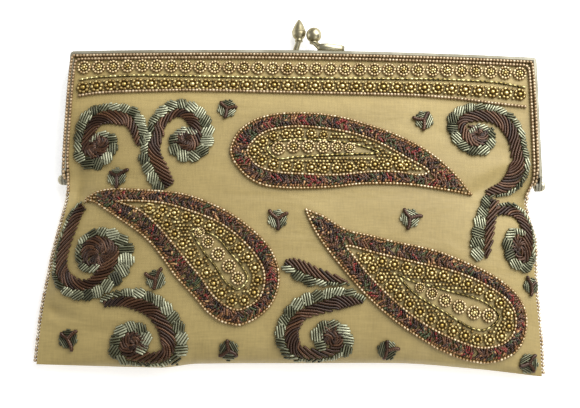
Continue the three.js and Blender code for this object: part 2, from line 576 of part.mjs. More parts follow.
function frameHalf(front) {
  const z = front ? FRONT_FRAME_Z : 0;
  const slotZ = front ? FRONT_SLOT_Z : BACK_SLOT_Z;
  const rim = extrude(ribbonShape(0, FRAME.depth, FRAME.armEnd), FRAME.half, FRAME.bevel).translate(0, 0, z);
  const groove = extrude(ribbonShape(FRAME.web, FRAME.depth + 3, FRAME.armEnd - 1), FRAME.slot);
  groove.translate(0, 0, slotZ - FRAME.slot / 2);
  const outside = FRAME.halfHinge - (front ? 0 : EAR.thickness + EAR.apart);
  const ears = [
    extrudeAlongX(earShape(front), EAR.thickness, outside - EAR.thickness),
    extrudeAlongX(earShape(front), EAR.thickness, -outside),
  ];
  const bore = new THREE.CylinderGeometry(EAR.hole, EAR.hole, 3 * FRAME.halfHinge, 16);
  bore.rotateZ(Math.PI / 2).translate(0, FRAME.hingeY, HINGE_Z);
  const footX = front ? ROUND_KNOB.footX : POINTED_KNOB.footX;
  const tenonHole = new THREE.CylinderGeometry(KNOB.hole, KNOB.hole, 4, 16);
  tenonHole.translate(footX, FRAME.cornerY + FRAME.arch, z + FRAME.half / 2);
  const body = solid(rim).subtract(solid(groove)).add(joined(ears));
  return geometryOf(body.subtract(solid(bore)).subtract(solid(tenonHole)));
}

function hingeRivet(side) {
  const backEar = 2 * EAR.thickness + EAR.apart + RIVET.clearance;
  const domeStart = RIVET.clearance + RIVET.flange;
  const profile = [
    [0, -backEar - RIVET.tailHeight],
    [RIVET.tail, -backEar - RIVET.tailHeight],
    [RIVET.tail, -backEar],
    [RIVET.shank, -backEar],
    [RIVET.shank, RIVET.clearance],
    [RIVET.head, RIVET.clearance],
    [RIVET.head, domeStart],
  ];
  for (let i = 0; i < 5; i++) {
    const angle = (Math.PI / 2) * (i / 5);
    profile.push([0.9 * RIVET.head * Math.cos(angle), domeStart + RIVET.dome * Math.sin(angle)]);
  }
  profile.push([0, domeStart + RIVET.dome]);
  const rivet = lathe(profile, 12).rotateZ((-side * Math.PI) / 2);
  return rivet.translate(side * FRAME.halfHinge, FRAME.hingeY, HINGE_Z);
}

// Tenon, foot and stem of a knob that leans from its foot on the frame to the knob's base.
function knobStem(footX, frameZ, base) {
  const seatY = FRAME.cornerY + FRAME.arch + KNOB.seat;
  const footTop = seatY + KNOB.footHeight;
  const tenonLength = 1.4 + KNOB.footHeight;
  const tenon = new THREE.CylinderGeometry(KNOB.tenon, KNOB.tenon, tenonLength, 8);
  tenon.translate(footX, footTop - 0.1 - tenonLength / 2, frameZ);
  const path = [
    [footX, footTop - 0.4, frameZ],
    [footX + 0.15 * (base[0] - footX), footTop + 0.6, frameZ + 0.2 * (base[2] - frameZ)],
    [base[0], base[1] + 0.6, base[2]],
  ];
  return [tenon, bar(path, KNOB.stem, 10, 5)];
}

function pointedKnob() {
  const { x, baseY, z, footX, footRadius } = POINTED_KNOB;
  const frameZ = FRAME.half / 2;
  const acorn = lathe([
    [0, 0], [1.65, 0], [1.75, 0.5], [1.5, 1.05], [2.5, 2], [3, 3.2], [3.15, 4.35], [3.28, 4.65],
    [3.1, 5], [2.3, 7.2], [1.45, 8.8], [0.7, 10.1], [0, 10.6],
  ]);
  acorn.translate(x, baseY, z);
  const foot = new THREE.CylinderGeometry(footRadius, footRadius, KNOB.footHeight, 12);
  foot.translate(footX, FRAME.cornerY + FRAME.arch + KNOB.seat + KNOB.footHeight / 2, frameZ);
  return geometryOf(joined([acorn, foot, ...knobStem(footX, frameZ, [x, baseY, z])]));
}

function roundKnob() {
  const { x, centreY, z, radius, footX } = ROUND_KNOB;
  const frameZ = FRONT_FRAME_Z + FRAME.half / 2;
  const ball = new THREE.SphereGeometry(radius, 16, 10).translate(x, centreY, z);
  const baseY = centreY - radius - 0.4;
  const collar = new THREE.CylinderGeometry(1.5, 1.9, 1.2, 12).translate(x, baseY + 0.6, z);
  const leaf = new THREE.Shape();
  leaf.moveTo(footX - LEAF.half, 0);
  leaf.quadraticCurveTo(footX, LEAF.half * 1.9, LEAF.end, 0);
  leaf.quadraticCurveTo(footX, -LEAF.half * 1.9, footX - LEAF.half, 0);
  const seatY = FRAME.cornerY + FRAME.arch + KNOB.seat;
  const block = extrude(leaf, LEAF.height).rotateX(-Math.PI / 2).translate(0, seatY, frameZ);
  const slope = (LEAF.height - LEAF.tipHeight) / (LEAF.end - footX);
  const length = Math.hypot(slope, 1);
  const top = seatY + LEAF.height + slope * footX;
  const foot = solid(block).trimByPlane([-slope / length, -1 / length, 0], -top / length);
  const knob = joined([ball, collar, ...knobStem(footX, frameZ, [x, baseY, z])]);
  return geometryOf(knob.add(foot));
}

// Double bead row that follows the inside of the front frame.
function frameRowsPlace(t, lane) {
  const line = frameRowLines[lane < 0.25 ? 0 : lane < 0.75 ? 1 : 2];
  return line[Math.round(t * (line.length - 1))];
}

// Smooth line in plan through the given points.
function planCurve(points) {
  return new THREE.CatmullRomCurve3(points.map(([x, y]) => new THREE.Vector3(x, y, 0)), false, "centripetal");
}

// Point of a scroll: `t` runs along its line, `lane` from the right edge of the two bands to the left.
function routePoint(scroll, t, lane) {
  const line = planCurve(scroll.points.map((p) => [p.x, p.y]));
  const place = line.getPoint(t);
  const heading = line.getTangent(t);
  const rows = scroll.points.map((p, i) => ({ at: i / (scroll.points.length - 1), ...p }));
  const bugles = along(rows, "at", "bugles", t);
  const strands = along(rows, "at", "strands", t);
  const [left, right] = scroll.side > 0 ? [bugles, strands] : [strands, bugles];
  const reach = lane * (left + right) - right;
  return [place.x - heading.y * reach, place.y + heading.x * reach];
}

// Point of a paisley: `t` runs from the belly to the tip, `lane` from the right side to the left.
function paisleyPoint({ left, right }, t, lane) {
  const [from, to] = [right, left].map((side) => planCurve(side).getPointAt(t));
  return [from.x + (to.x - from.x) * lane, from.y + (to.y - from.y) * lane];
}

// A square taken to a trefoil: each ring of the square becomes a three-lobed ring.
function floretPoint(floret, u, v) {
  const [a, b] = [2 * u - 1, 2 * v - 1];
  const ring = Math.max(Math.abs(a), Math.abs(b));
  const angle = Math.atan2(b, a);
  const reach = floret.radius * ring * (0.86 + 0.14 * Math.cos(3 * (angle - Math.PI / 2)));
  return [floret.x + reach * Math.cos(angle), floret.y + reach * Math.sin(angle)];
}

function bandPoint(u, v) {
  const half = FRAME.halfTop - BAND.side;
  const x = half * (2 * u - 1);
  const top = FRAME.cornerY - BAND.top + FRAME.arch * (1 - (x / half) ** 2);
  const bottom = along(BAND_LOWER, "x", "y", x);
  return [x, bottom + (top - bottom) * v];
}

// A string of seed beads just outside a side seam.
function seamString(side) {
  const points = [];
  for (let i = 0; i <= 12; i++) {
    const rise = SEAM_STRING.bottom + ((SEAM_STRING.top - SEAM_STRING.bottom) * i) / 12;
    const edge = along(EDGES, "rise", side < 0 ? "left" : "right", rise);
    const x = edge + side * (SEAM_STRING.gap + SEAM_STRING.radius);
    const z = (along(SEAM, "rise", "front", rise) + along(SEAM, "rise", "back", rise)) / 2;
    points.push([x, planY(edge, rise), z]);
  }
  return bar(points, SEAM_STRING.radius, SEAM_STRING.sides, SEAM_STRING.steps);
}

const frameRowLines = [FRAME_ROWS.inner, (FRAME_ROWS.inner + FRAME_ROWS.outer) / 2, FRAME_ROWS.outer].map(
  (inset) => evenLine(inset),
);

// The frame's line at an inset, cut into the same number of steps along arms, corners and top.
function evenLine(inset) {
  const corner = FRAME.cornerY - inset;
  const armSteps = 10;
  const topSteps = 28;
  const arm = [];
  for (let i = 0; i < armSteps; i++) {
    const y = FRAME_ROWS.bottom + ((corner - FRAME_ROWS.bottom) * i) / armSteps;
    const turn = Math.max(0, (FRAME_ROWS.turnY - y) / (FRAME_ROWS.turnY - FRAME_ROWS.bottom));
    arm.push([inset - halfWidth(y) + FRAME_ROWS.turnIn * turn * turn, y]);
  }
  const reach = FRAME.halfTop - inset;
  const top = [];
  for (let i = 0; i <= topSteps; i++) {
    const x = reach * ((2 * i) / topSteps - 1);
    top.push([x, corner + FRAME.arch * (1 - (x / reach) ** 2)]);
  }
  return [...arm, ...top, ...arm.map(([x, y]) => [-x, y]).reverse()];
}

const LOOKS = {
  metal: { color: 0xc9c3b0, roughness: 0.3, metalness: 1 },
  clasp: { color: 0xd8cfa6, roughness: 0.25, metalness: 1 },
  satin: { color: 0xc8b27d, roughness: 0.45, metalness: 0 },
  gold: { color: 0x96733f, roughness: 0.3, metalness: 0.8 },
  pearl: { color: 0xbeaf96, roughness: 0.3, metalness: 0.3 },
  iris: { color: 0x46231e, roughness: 0.25, metalness: 0.3 },
  bugle: { color: 0x6e7864, roughness: 0.2, metalness: 0.4 },
};

const clutch = new THREE.Group();
clutch.name = "beaded_clutch";

function add(name, look, geometry) {
  const mesh = new THREE.Mesh(geometry, new THREE.MeshStandardMaterial(LOOKS[look]));
  mesh.name = name;
  clutch.add(mesh);
}

add("satin_pouch", "satin", pouchGeometry());
add("front_frame", "metal", frameHalf(true));
add("back_frame", "metal", frameHalf(false));
add("hinge_rivet_left", "metal", hingeRivet(-1));
add("hinge_rivet_right", "metal", hingeRivet(1));
add("clasp_knob_pointed", "clasp", pointedKnob());
add("clasp_knob_round", "clasp", roundKnob());
add("frame_bead_rows", "gold", plateGeometry(frameRowLines[0].length - 1, 2, frameRowsPlace));
add("rosette_band", "gold", plateGeometry(24, 2, bandPoint));
for (const paisley of PAISLEYS) {
  add(paisley.name, "iris", plateGeometry(15, 6, (t, lane) => paisleyPoint(paisley, t, lane)));
}
for (const scroll of SCROLLS) {
  const stations = Math.round(1.5 * (scroll.points.length - 1));
  add(scroll.name, "bugle", plateGeometry(stations, 2, (t, lane) => routePoint(scroll, t, lane)));
}
FLORETS.forEach((floret, i) => {
  add(`floret_${i + 1}`, "bugle", plateGeometry(4, 4, (u, v) => floretPoint(floret, u, v)));
});
add("edge_beads_left", "pearl", seamString(-1));
add("edge_beads_right", "pearl", seamString(1));

// The origin is under the middle of the whole object, on the plane that it rests on.
const box = new THREE.Box3().setFromObject(clutch);
const middle = box.getCenter(new THREE.Vector3());
for (const mesh of clutch.children) mesh.geometry.translate(-middle.x, -middle.y, -box.min.z);

export default clutch;
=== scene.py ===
"""A beaded satin evening clutch with a kiss-lock frame, lying on its back.

Tables and formulas are in the bag's own millimetres: x along the frame, y from the bottom fold to
the clasp, z out of the front panel. Meshes are put into the frame in metres.
"""

import bpy
import numpy as np
from mathutils import Matrix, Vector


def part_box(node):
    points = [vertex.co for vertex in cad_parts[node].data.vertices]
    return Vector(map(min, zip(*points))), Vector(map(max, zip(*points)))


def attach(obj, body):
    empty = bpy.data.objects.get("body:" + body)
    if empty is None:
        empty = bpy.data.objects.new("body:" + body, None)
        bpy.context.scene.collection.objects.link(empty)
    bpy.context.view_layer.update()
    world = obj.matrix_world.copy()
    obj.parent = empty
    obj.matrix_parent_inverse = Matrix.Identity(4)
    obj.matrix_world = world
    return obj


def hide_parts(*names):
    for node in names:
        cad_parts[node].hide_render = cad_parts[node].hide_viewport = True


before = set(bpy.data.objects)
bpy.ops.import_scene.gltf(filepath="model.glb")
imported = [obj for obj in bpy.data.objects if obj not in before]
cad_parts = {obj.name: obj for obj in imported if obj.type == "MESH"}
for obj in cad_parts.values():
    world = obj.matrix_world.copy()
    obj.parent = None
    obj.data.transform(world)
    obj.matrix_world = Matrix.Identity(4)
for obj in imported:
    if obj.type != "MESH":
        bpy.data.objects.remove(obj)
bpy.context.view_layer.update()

# Satin pouch: one length of beige-gold satin, folded at the bottom and sewn up both sides below
# the hinges. Its upper edges are tucked into the grooves of the metal frame. It is hollow and
# lies on its back, so the front panel is a soft pillow and the back is flat on the table.
MM = 0.001
low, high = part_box("front_frame")
FRAME_TOP = 61.4
BAG_TO_ROW = np.array([(low.x + high.x) / 2 / MM, high.y / MM - FRAME_TOP, 0.0])

WALL = 1.5
POUCH_HEIGHT = 138.0
TUCK = 1.3
LINING_GAP = 0.4
STEEPEST = 2
FLATNESS = 3.5
HOLLOW_ONSET = 7
HALF_TOP = 104.8
HALF_HINGE = 106.0
CORNER_Y = 59.5
ARCH = 1.9
HINGE_Y = 1.5
HINGE_RISE = 81.0
EAR_RISE = 90.6
# painted light on the satin: how much lighter its colour is made towards the frame, and the y where this
# starts and where it is full
SATIN_PAINTED_LIGHT_GAIN = 1.2
SATIN_PAINTED_LIGHT_FROM = 30.0
SATIN_PAINTED_LIGHT_FULL = 46.0
# rise above the fold, left edge, right edge
EDGES = np.array([
    (0, -113.2, 104.2), (14, -112.5, 103.9), (26, -111.4, 103.2), (39, -109.5, 102.3),
    (48, -108.2, 102.3), (57, -106.4, 102.6), (67, -104.2, 99.8), (74, -103, 98.6),
    (81, -102.8, 101), (86.6, -103.1, 103), (90.6, -104.5, 104.5), (138, -103.5, 103.5),
])
# rise, height of the front and of the back in the middle of the pouch
PROFILE = np.array([
    (0, 7, 4.6), (1, 9.3, 2.6), (3, 11.3, 1.1), (6, 12.8, 0.1), (12, 14.2, -0.6), (25, 15.8, -0.8),
    (42, 16.8, -0.8), (60, 16.4, -0.8), (81, 14.8, -0.8), (100, 12.8, -0.8), (120, 11, 0.2),
    (134, 9.6, 1.6), (138, 9.55, 1.65),
])
# rise, height of the front and of the back at the side seams, inset of the lining from the seam
SEAM = np.array([
    (0, 6.5, 4.7, 3), (3, 6.7, 3.7, 3), (73, 6.7, 3.7, 3), (81, 7.2, 3.6, 1.5), (86.6, 9, 2.2, 0),
    (90.6, 9.55, 1.65, 0), (138, 9.55, 1.65, 0),
])
# x, y of the bottom fold
FOLD = np.array([
    (-114, -79.7), (-95, -80), (-60, -80.4), (-44, -78.5), (0, -77.7), (42, -77.1), (75, -79), (105, -82),
])
# soft hollows of the front: x, y, length, width, turn in degrees, depth (less than 0 for a bulge)
DENTS = np.array([
    (-101, -5, 12, 8, 50, 2.4), (98, -7, 10, 6, -40, 1.9), (-107, -57, 8, 2.2, -18, 1.7),
    (-101, -51, 12, 4, -24, -0.8), (-60, -3, 20, 7, 8, 0.5), (60, -36, 8, 22, 20, 0.5),
    (79.5, -1.2, 9, 2, 24, 0.9), (86, 5, 9, 2.2, 30, 0.7), (77, 4, 10, 3, 24, -0.4),
    (-86, 6, 10, 1.8, -20, 0.7), (-88, -66, 12, 3, 12, 0.8), (-45, -72, 2, 6, 8, 0.9),
    (-12, -72, 2, 6, -10, 0.8), (30, -72, 2, 6, 12, 0.8), (56, -74, 2, 6, -8, 0.9),
    (84, -79, 5, 2, -12, 0.8),
])


def smooth_line(table, column, at):
    """A column of a table against its first one, as cubic pieces through the rows. The slope at a row
    is the harmonic mean of the slopes on both sides of it, and none where they differ in sign, so the
    line never overshoots."""
    keys, values = table[:, 0], table[:, column]
    gap = np.diff(keys)
    slope = np.diff(values) / gap
    both = slope[1:] * slope[:-1]
    total = slope[1:] + slope[:-1]
    inner = np.where(both > 0, 2 * both / np.where(total == 0, 1, total), 0)
    tangent = np.concatenate([slope[:1], inner, slope[-1:]])
    at = np.clip(at, keys[0], keys[-1])
    row = np.clip(np.searchsorted(keys, at, side="right") - 1, 0, len(keys) - 2)
    part = (at - keys[row]) / gap[row]
    ease = part * part * (3 - 2 * part)
    start = part * (1 - part) ** 2 * gap[row] * tangent[row]
    end = part**2 * (1 - part) * gap[row] * tangent[row + 1]
    return values[row] + (values[row + 1] - values[row]) * ease + start - end


def fold_y(x):
    """The bottom fold's smooth line."""
    return smooth_line(FOLD, 1, x)


def satin_top_y(x):
    """The tucked-in upper edge: the frame's flat arch, lowered by the tuck."""
    return CORNER_Y - TUCK + ARCH * (1 - (x / HALF_TOP) ** 2)


def plan_y(x, rise):
    """Height in plan: the share `rise` of the way from the fold to the upper edge."""
    return fold_y(x) + rise / POUCH_HEIGHT * (satin_top_y(x) - fold_y(x))


def rise_at(x, y):
    """The share of the way from the fold to the upper edge, as a height on the pouch."""
    return POUCH_HEIGHT * (y - fold_y(x)) / (satin_top_y(x) - fold_y(x))


def edge_x(rise):
    """Left and right edge of the pouch at a rise."""
    return (smooth_line(EDGES, side, rise) for side in (1, 2))


def fullness(x, rise):
    """0 at the seams and 1 in the middle: one less a high power of the distance across."""
    left, right = edge_x(rise)
    across = (2 * x - left - right) / (right - left)
    return 1 - np.minimum(np.abs(across), 1) ** FLATNESS


def front_z(x, y):
    """Front panel: the seam's height, plus the pillow's rise over it, less the soft hollows, which
    are bell-shaped in their own turned axes."""
    rise = rise_at(x, y)
    edge = smooth_line(SEAM, 1, rise)
    middle = smooth_line(PROFILE, 1, rise)
    full = fullness(x, rise)
    dent_x, dent_y, length, width, turn, depth = (column[:, None] for column in DENTS.T)
    away_x = x.ravel() - dent_x
    away_y = y.ravel() - dent_y
    turn = np.radians(turn)
    lengthwise = (away_x * np.cos(turn) + away_y * np.sin(turn)) / length
    crosswise = (away_y * np.cos(turn) - away_x * np.sin(turn)) / width
    hollow = (depth * np.exp(-(lengthwise**2) - crosswise**2)).sum(0).reshape(x.shape)
    return edge + (middle - edge) * full - hollow * np.minimum(1, HOLLOW_ONSET * full)


def back_z(x, y):
    """Back panel: flat on the table, rising to the seams and to the fold."""
    rise = rise_at(x, y)
    edge = smooth_line(SEAM, 2, rise)
    middle = smooth_line(PROFILE, 2, rise)
    return np.maximum(0, edge + (middle - edge) * fullness(x, rise))


def unit(vectors):
    """Vectors of length one along the given ones."""
    return vectors / np.maximum(np.linalg.norm(vectors, axis=-1, keepdims=True), 1e-6)


def panel_normal(height, x, y):
    """Unit normal of a panel from the height's slopes in x and y."""
    step = 0.2
    slope_x = (height(x + step, y) - height(x - step, y)) / (2 * step)
    slope_y = (height(x, y + step) - height(x, y - step)) / (2 * step)
    return unit(np.stack([-slope_x, -slope_y, np.ones_like(slope_x)], -1))


def outer_skin(height, rise, part):
    """Points of an outer skin: `part` from -1 to 1 across the pouch at each rise."""
    left, right = edge_x(rise)
    x = (left + right) / 2 + part * (right - left) / 2
    y = plan_y(x, rise)
    return np.stack([x, y, height(x, y)], -1)


def inner_skin(height, way, rise, part):
    """Points of the lining: the outer skin moved in by the wall's thickness, held apart from the
    other side of the pouch by a small gap and kept in from the seams."""
    rise = WALL + rise * (POUCH_HEIGHT - WALL) / POUCH_HEIGHT
    inset = smooth_line(SEAM, 3, rise)
    left, right = edge_x(rise)
    x = (left + right) / 2 + part * ((right - left) / 2 - inset)
    y = plan_y(x, rise)
    middle = (front_z(x, y) + back_z(x, y)) / 2
    slant = np.minimum(1 / panel_normal(height, x, y)[..., 2], STEEPEST)
    half = np.abs(height(x, y) - middle) - WALL * slant
    return np.stack([x, y, middle + way * np.maximum(half, LINING_GAP)], -1)


def quad_strip(first, second):
    """Quads between two rows of point numbers, facing the left of the way from first to second."""
    return np.stack([first[:-1], first[1:], second[1:], second[:-1]], -1)


def quad_grid(numbers):
    """Quads of a whole grid of point numbers."""
    corners = [numbers[:-1, :-1], numbers[:-1, 1:], numbers[1:, 1:], numbers[1:, :-1]]
    return np.stack(corners, -1).reshape(-1, 4)


def mesh_object(name, points, loops, sizes, materials, face_material=None):
    """A mesh at the origin from points in the bag's millimetres and flat lists of face corners."""
    mesh = bpy.data.meshes.new(name)
    mesh.vertices.add(len(points))
    mesh.vertices.foreach_set("co", ((points + BAG_TO_ROW) * MM).astype(np.float32).ravel())
    mesh.loops.add(len(loops))
    mesh.loops.foreach_set("vertex_index", loops.astype(np.int32))
    mesh.polygons.add(len(sizes))
    mesh.polygons.foreach_set("loop_start", (np.cumsum(sizes) - sizes).astype(np.int32))
    mesh.polygons.foreach_set("use_smooth", np.ones(len(sizes), bool))
    for material in materials:
        mesh.materials.append(material)
    if face_material is not None:
        mesh.polygons.foreach_set("material_index", face_material.astype(np.int32))
    mesh.update(calc_edges=True)
    piece = bpy.data.objects.new(name, mesh)
    bpy.context.scene.collection.objects.link(piece)
    return piece


def paint(red, green, blue):
    """A colour seen as 0 to 255 on a screen, as the linear colour that shaders take."""
    seen = np.array([red, green, blue]) / 255
    linear = np.where(seen <= 0.04045, seen / 12.92, ((seen + 0.055) / 1.055) ** 2.4)
    return (*linear.tolist(), 1.0)


def add_node(tree, kind, inputs=None, **settings):
    """A shader node with its settings, and its inputs given as values or as sockets to link."""
    node = tree.nodes.new(kind)
    for setting, value in settings.items():
        setattr(node, setting, value)
    for socket, value in (inputs or {}).items():
        if isinstance(value, bpy.types.NodeSocket):
            tree.links.new(value, node.inputs[socket])
        else:
            node.inputs[socket].default_value = value
    return node


def new_finish(name, **constants):
    """A material with one principled shader, whose constant inputs are set on its own sockets."""
    material = bpy.data.materials.new(name)
    material.use_nodes = True
    shader = material.node_tree.nodes["Principled BSDF"]
    for socket, value in constants.items():
        shader.inputs[socket.replace("_", " ")].default_value = value
    return material, material.node_tree, shader


def new_group(name, inputs, outputs):
    """An empty shader group with named sockets: (name, kind, value) in, (name, kind) out."""
    group = bpy.data.node_groups.new(name, "ShaderNodeTree")
    for socket, kind, value in inputs:
        made = group.interface.new_socket(socket, in_out="INPUT", socket_type="NodeSocket" + kind)
        made.default_value = value
    for socket, kind in outputs:
        group.interface.new_socket(socket, in_out="OUTPUT", socket_type="NodeSocket" + kind)
    return group, group.nodes.new("NodeGroupInput").outputs, group.nodes.new("NodeGroupOutput").inputs


def feed(tree, sockets, **sources):
    """Links sockets, by their names, to what feeds them."""
    for socket, source in sources.items():
        tree.links.new(source, sockets[socket.replace("_", " ")])


def noise(tree, vector, scale, detail=2.0, roughness=0.5, distortion=0.0):
    """Soft noise from 0 to 1."""
    return add_node(tree, "ShaderNodeTexNoise", {
        "Vector": vector, "Scale": scale, "Detail": detail, "Roughness": roughness,
        "Distortion": distortion}).outputs["Fac"]


def ranged(tree, value, low, high, start=0.0, end=1.0, **settings):
    """A value between start and end, carried over to between low and high."""
    return add_node(tree, "ShaderNodeMapRange", {
        "Value": value, "From Min": start, "From Max": end, "To Min": low, "To Max": high},
        **settings).outputs[0]


def reckoned(tree, operation, *values):
    """One step of arithmetic."""
    return add_node(tree, "ShaderNodeMath", dict(enumerate(values)), operation=operation).outputs[0]


def blended(tree, share, first, second):
    """A colour between two others."""
    return add_node(tree, "ShaderNodeMix", {0: share, 6: first, 7: second}, data_type="RGBA").outputs[2]


def scaled(tree, colour, factor):
    """A colour made lighter or darker."""
    return add_node(tree, "ShaderNodeVectorMath", {
        0: colour, "Scale": factor}, operation="SCALE").outputs["Vector"]


def laid(tree, vector, stretch, turn=0.0):
    """A vector turned and stretched."""
    return add_node(tree, "ShaderNodeMapping", {
        "Vector": vector, "Rotation": (0, 0, turn), "Scale": stretch}).outputs["Vector"]


# Mottle: two tones in soft patches, with a fine grain on top.
mottle, given, put = new_group(
    "mottle",
    [("Vector", "Vector", (0, 0, 0)), ("Light", "Color", (1, 1, 1, 1)), ("Dark", "Color", (0, 0, 0, 1)),
     ("Patch Scale", "Float", 30), ("Grain Scale", "Float", 900), ("Grain", "Float", 0.15)],
    [("Color", "Color"), ("Patches", "Float"), ("Grains", "Float")],
)
patches = noise(mottle, given["Vector"], given["Patch Scale"], 3.0, 0.55)
grains = noise(mottle, given["Vector"], given["Grain Scale"])
patch_share = ranged(mottle, patches, 0, 1, 0.32, 0.68, interpolation_type="SMOOTHSTEP")
toned = blended(mottle, patch_share, given["Dark"], given["Light"])
grain_shade = reckoned(mottle, "SUBTRACT", 1.0, reckoned(mottle, "MULTIPLY", grains, given["Grain"]))
feed(mottle, put, Color=scaled(mottle, toned, grain_shade), Patches=patch_share, Grains=grains)

satin, tree, shader = new_finish(
    "beige_gold_satin", Sheen_Weight=0.25, Sheen_Roughness=0.4, Specular_IOR_Level=0.45)
thread = add_node(tree, "ShaderNodeUVMap", uv_map="thread").outputs["UV"]
weave = add_node(tree, "ShaderNodeGroup", {
    "Vector": thread, "Light": paint(179, 158, 100), "Dark": paint(167, 146, 91), "Patch Scale": 22,
    "Grain Scale": 1500, "Grain": 0.14}, node_tree=mottle).outputs
weft, warp = (
    noise(tree, laid(tree, thread, stretch), 1.0, 1.0, 0.4) for stretch in ((170, 1400, 1), (1400, 170, 1)))
threads = reckoned(tree, "ADD", weft, warp)
cloth_colour = scaled(tree, weave["Color"], ranged(tree, threads, 0.89, 1.09, 0.6, 1.4))
# Painted light: the satin's colour is made lighter towards the frame.
place = add_node(tree, "ShaderNodeTexCoord").outputs["Object"]
place_y = add_node(tree, "ShaderNodeSeparateXYZ", {0: place}).outputs["Y"]
painted_top_light = ranged(
    tree, place_y, 1.0, SATIN_PAINTED_LIGHT_GAIN, SATIN_PAINTED_LIGHT_FROM * MM, SATIN_PAINTED_LIGHT_FULL * MM, interpolation_type="SMOOTHSTEP")
wrinkles = noise(tree, laid(tree, thread, (18, 46, 1), 0.5), 1.0, 3.0, 0.45, 0.6)
soft_relief = add_node(tree, "ShaderNodeBump", {"Height": wrinkles, "Strength": 0.5, "Distance": 0.004})
cloth_relief = add_node(tree, "ShaderNodeBump", {
    "Height": threads, "Strength": 0.16, "Distance": 0.0001, "Normal": soft_relief.outputs["Normal"]})
feed(
    tree, shader.inputs, Base_Color=scaled(tree, cloth_colour, painted_top_light),
    Roughness=ranged(tree, weave["Grains"], 0.42, 0.58), Normal=cloth_relief.outputs["Normal"])

# rows of the mesh round the fold, up the sides, past the hinges and up the arms, and its columns
FOLD_ROWS, SIDE_ROWS, EAR_ROWS, ARM_ROWS, COLUMNS = 14, 50, 9, 25, 91
FOLD_RISE = 8
rises = np.concatenate([
    FOLD_RISE * np.linspace(0, 1, FOLD_ROWS) ** 1.6, np.linspace(FOLD_RISE, HINGE_RISE, SIDE_ROWS)[1:],
    np.linspace(HINGE_RISE, EAR_RISE, EAR_ROWS)[1:], np.linspace(EAR_RISE, POUCH_HEIGHT, ARM_ROWS)[1:]])
hinge_row = FOLD_ROWS + SIDE_ROWS - 2
parts = np.sin(np.pi / 2 * np.linspace(-1, 1, COLUMNS))
rise_grid, part_grid = np.meshgrid(rises, parts, indexing="ij")
skins = [
    outer_skin(front_z, rise_grid, part_grid), outer_skin(back_z, rise_grid, part_grid),
    inner_skin(front_z, 1, rise_grid, part_grid), inner_skin(back_z, -1, rise_grid, part_grid)]
count = rise_grid.size
front, back, front_lining, back_lining = (
    np.arange(count).reshape(rise_grid.shape) + count * skin for skin in range(4))
below = slice(0, hinge_row + 1)
above = slice(hinge_row, None)
faces = [
    quad_grid(front), quad_grid(back)[:, ::-1], quad_grid(front_lining)[:, ::-1], quad_grid(back_lining),
    quad_strip(back[0], front[0]), quad_strip(back_lining[0], front_lining[0])[:, ::-1],
    quad_strip(front[-1], front_lining[-1]), quad_strip(back[-1], back_lining[-1])[:, ::-1]]
for end, turn in ((0, -1), (-1, 1)):
    crotch = np.array([[side[hinge_row, end] for side in (back, back_lining, front_lining, front)]])
    for side in (
        quad_strip(back[below, end], front[below, end]),
        quad_strip(back_lining[below, end], front_lining[below, end])[:, ::-1],
        quad_strip(front_lining[above, end], front[above, end]),
        quad_strip(back[above, end], back_lining[above, end]),
        crotch,
    ):
        faces.append(side[:, ::turn])
faces = np.concatenate(faces)
cloth_points = np.concatenate([skin.reshape(-1, 3) for skin in skins])
pouch = mesh_object("satin_pouch_cloth", cloth_points, faces.ravel(), np.full(len(faces), 4), [satin])
thread_map = np.stack([cloth_points[:, 0], np.tile(rise_grid.ravel(), 4)], -1) * MM
thread_layer = pouch.data.uv_layers.new(name="thread")
thread_layer.data.foreach_set("uv", thread_map[faces.ravel()].astype(np.float32).ravel())
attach(pouch, "root")
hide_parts("satin_pouch")

# Frame halves and hinge rivets: two thin channels of plated brass bent into a U, face to face, with ears that
# overlap at the hinges and a domed rivet through each pair. The plating is pale champagne, dulled in soft
# patches; the rivets get a lighter copy of it, a painted light on the domes.
WELD_REACH = 0.00001
EDGE_ROUNDING = 0.00012
EDGE_ANGLE = 0.6


def metal_finish(name, light, dark, edge, patch_scale, dull, polished, metallic=1.0):
    """Plated metal: two mottled tones, an edge tint, a gloss from dull to polished and a faint grain."""
    material, tree, shader = new_finish(name, Metallic=metallic, Specular_Tint=edge)
    place = add_node(tree, "ShaderNodeTexCoord").outputs["Object"]
    tone = add_node(tree, "ShaderNodeGroup", {
        "Vector": place, "Light": light, "Dark": dark, "Patch Scale": patch_scale, "Grain Scale": 2800,
        "Grain": 0.12}, node_tree=mottle).outputs
    relief = add_node(tree, "ShaderNodeBump", {
        "Height": tone["Grains"], "Strength": 0.05, "Distance": 0.0001}).outputs["Normal"]
    gloss = ranged(tree, tone["Patches"], dull, polished)
    feed(tree, shader.inputs, Base_Color=tone["Color"], Roughness=gloss, Normal=relief)
    return material


plating = metal_finish(
    "champagne_plating", paint(172, 168, 150), paint(150, 145, 125), (0.46, 0.44, 0.38, 1), 90,
    0.58, 0.46, 0.6)
# lighter copy of the plating for the rivets: painted light on the domes
lighter_painted_rivet_plating = metal_finish(
    "lighter_painted_rivet_plating", paint(214, 208, 186), paint(182, 174, 148), (0.66, 0.63, 0.54, 1), 240,
    0.42, 0.32, 0.7)
for node in ("front_frame", "back_frame", "hinge_rivet_left", "hinge_rivet_right"):
    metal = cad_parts[node]
    metal.data.materials.clear()
    metal.data.materials.append(lighter_painted_rivet_plating if node.startswith("hinge") else plating)
    weld = metal.modifiers.new("weld", "WELD")
    weld.merge_threshold = WELD_REACH
    bevel = metal.modifiers.new("rounded", "BEVEL")
    bevel.width = EDGE_ROUNDING
    bevel.segments = 2
    bevel.angle_limit = EDGE_ANGLE

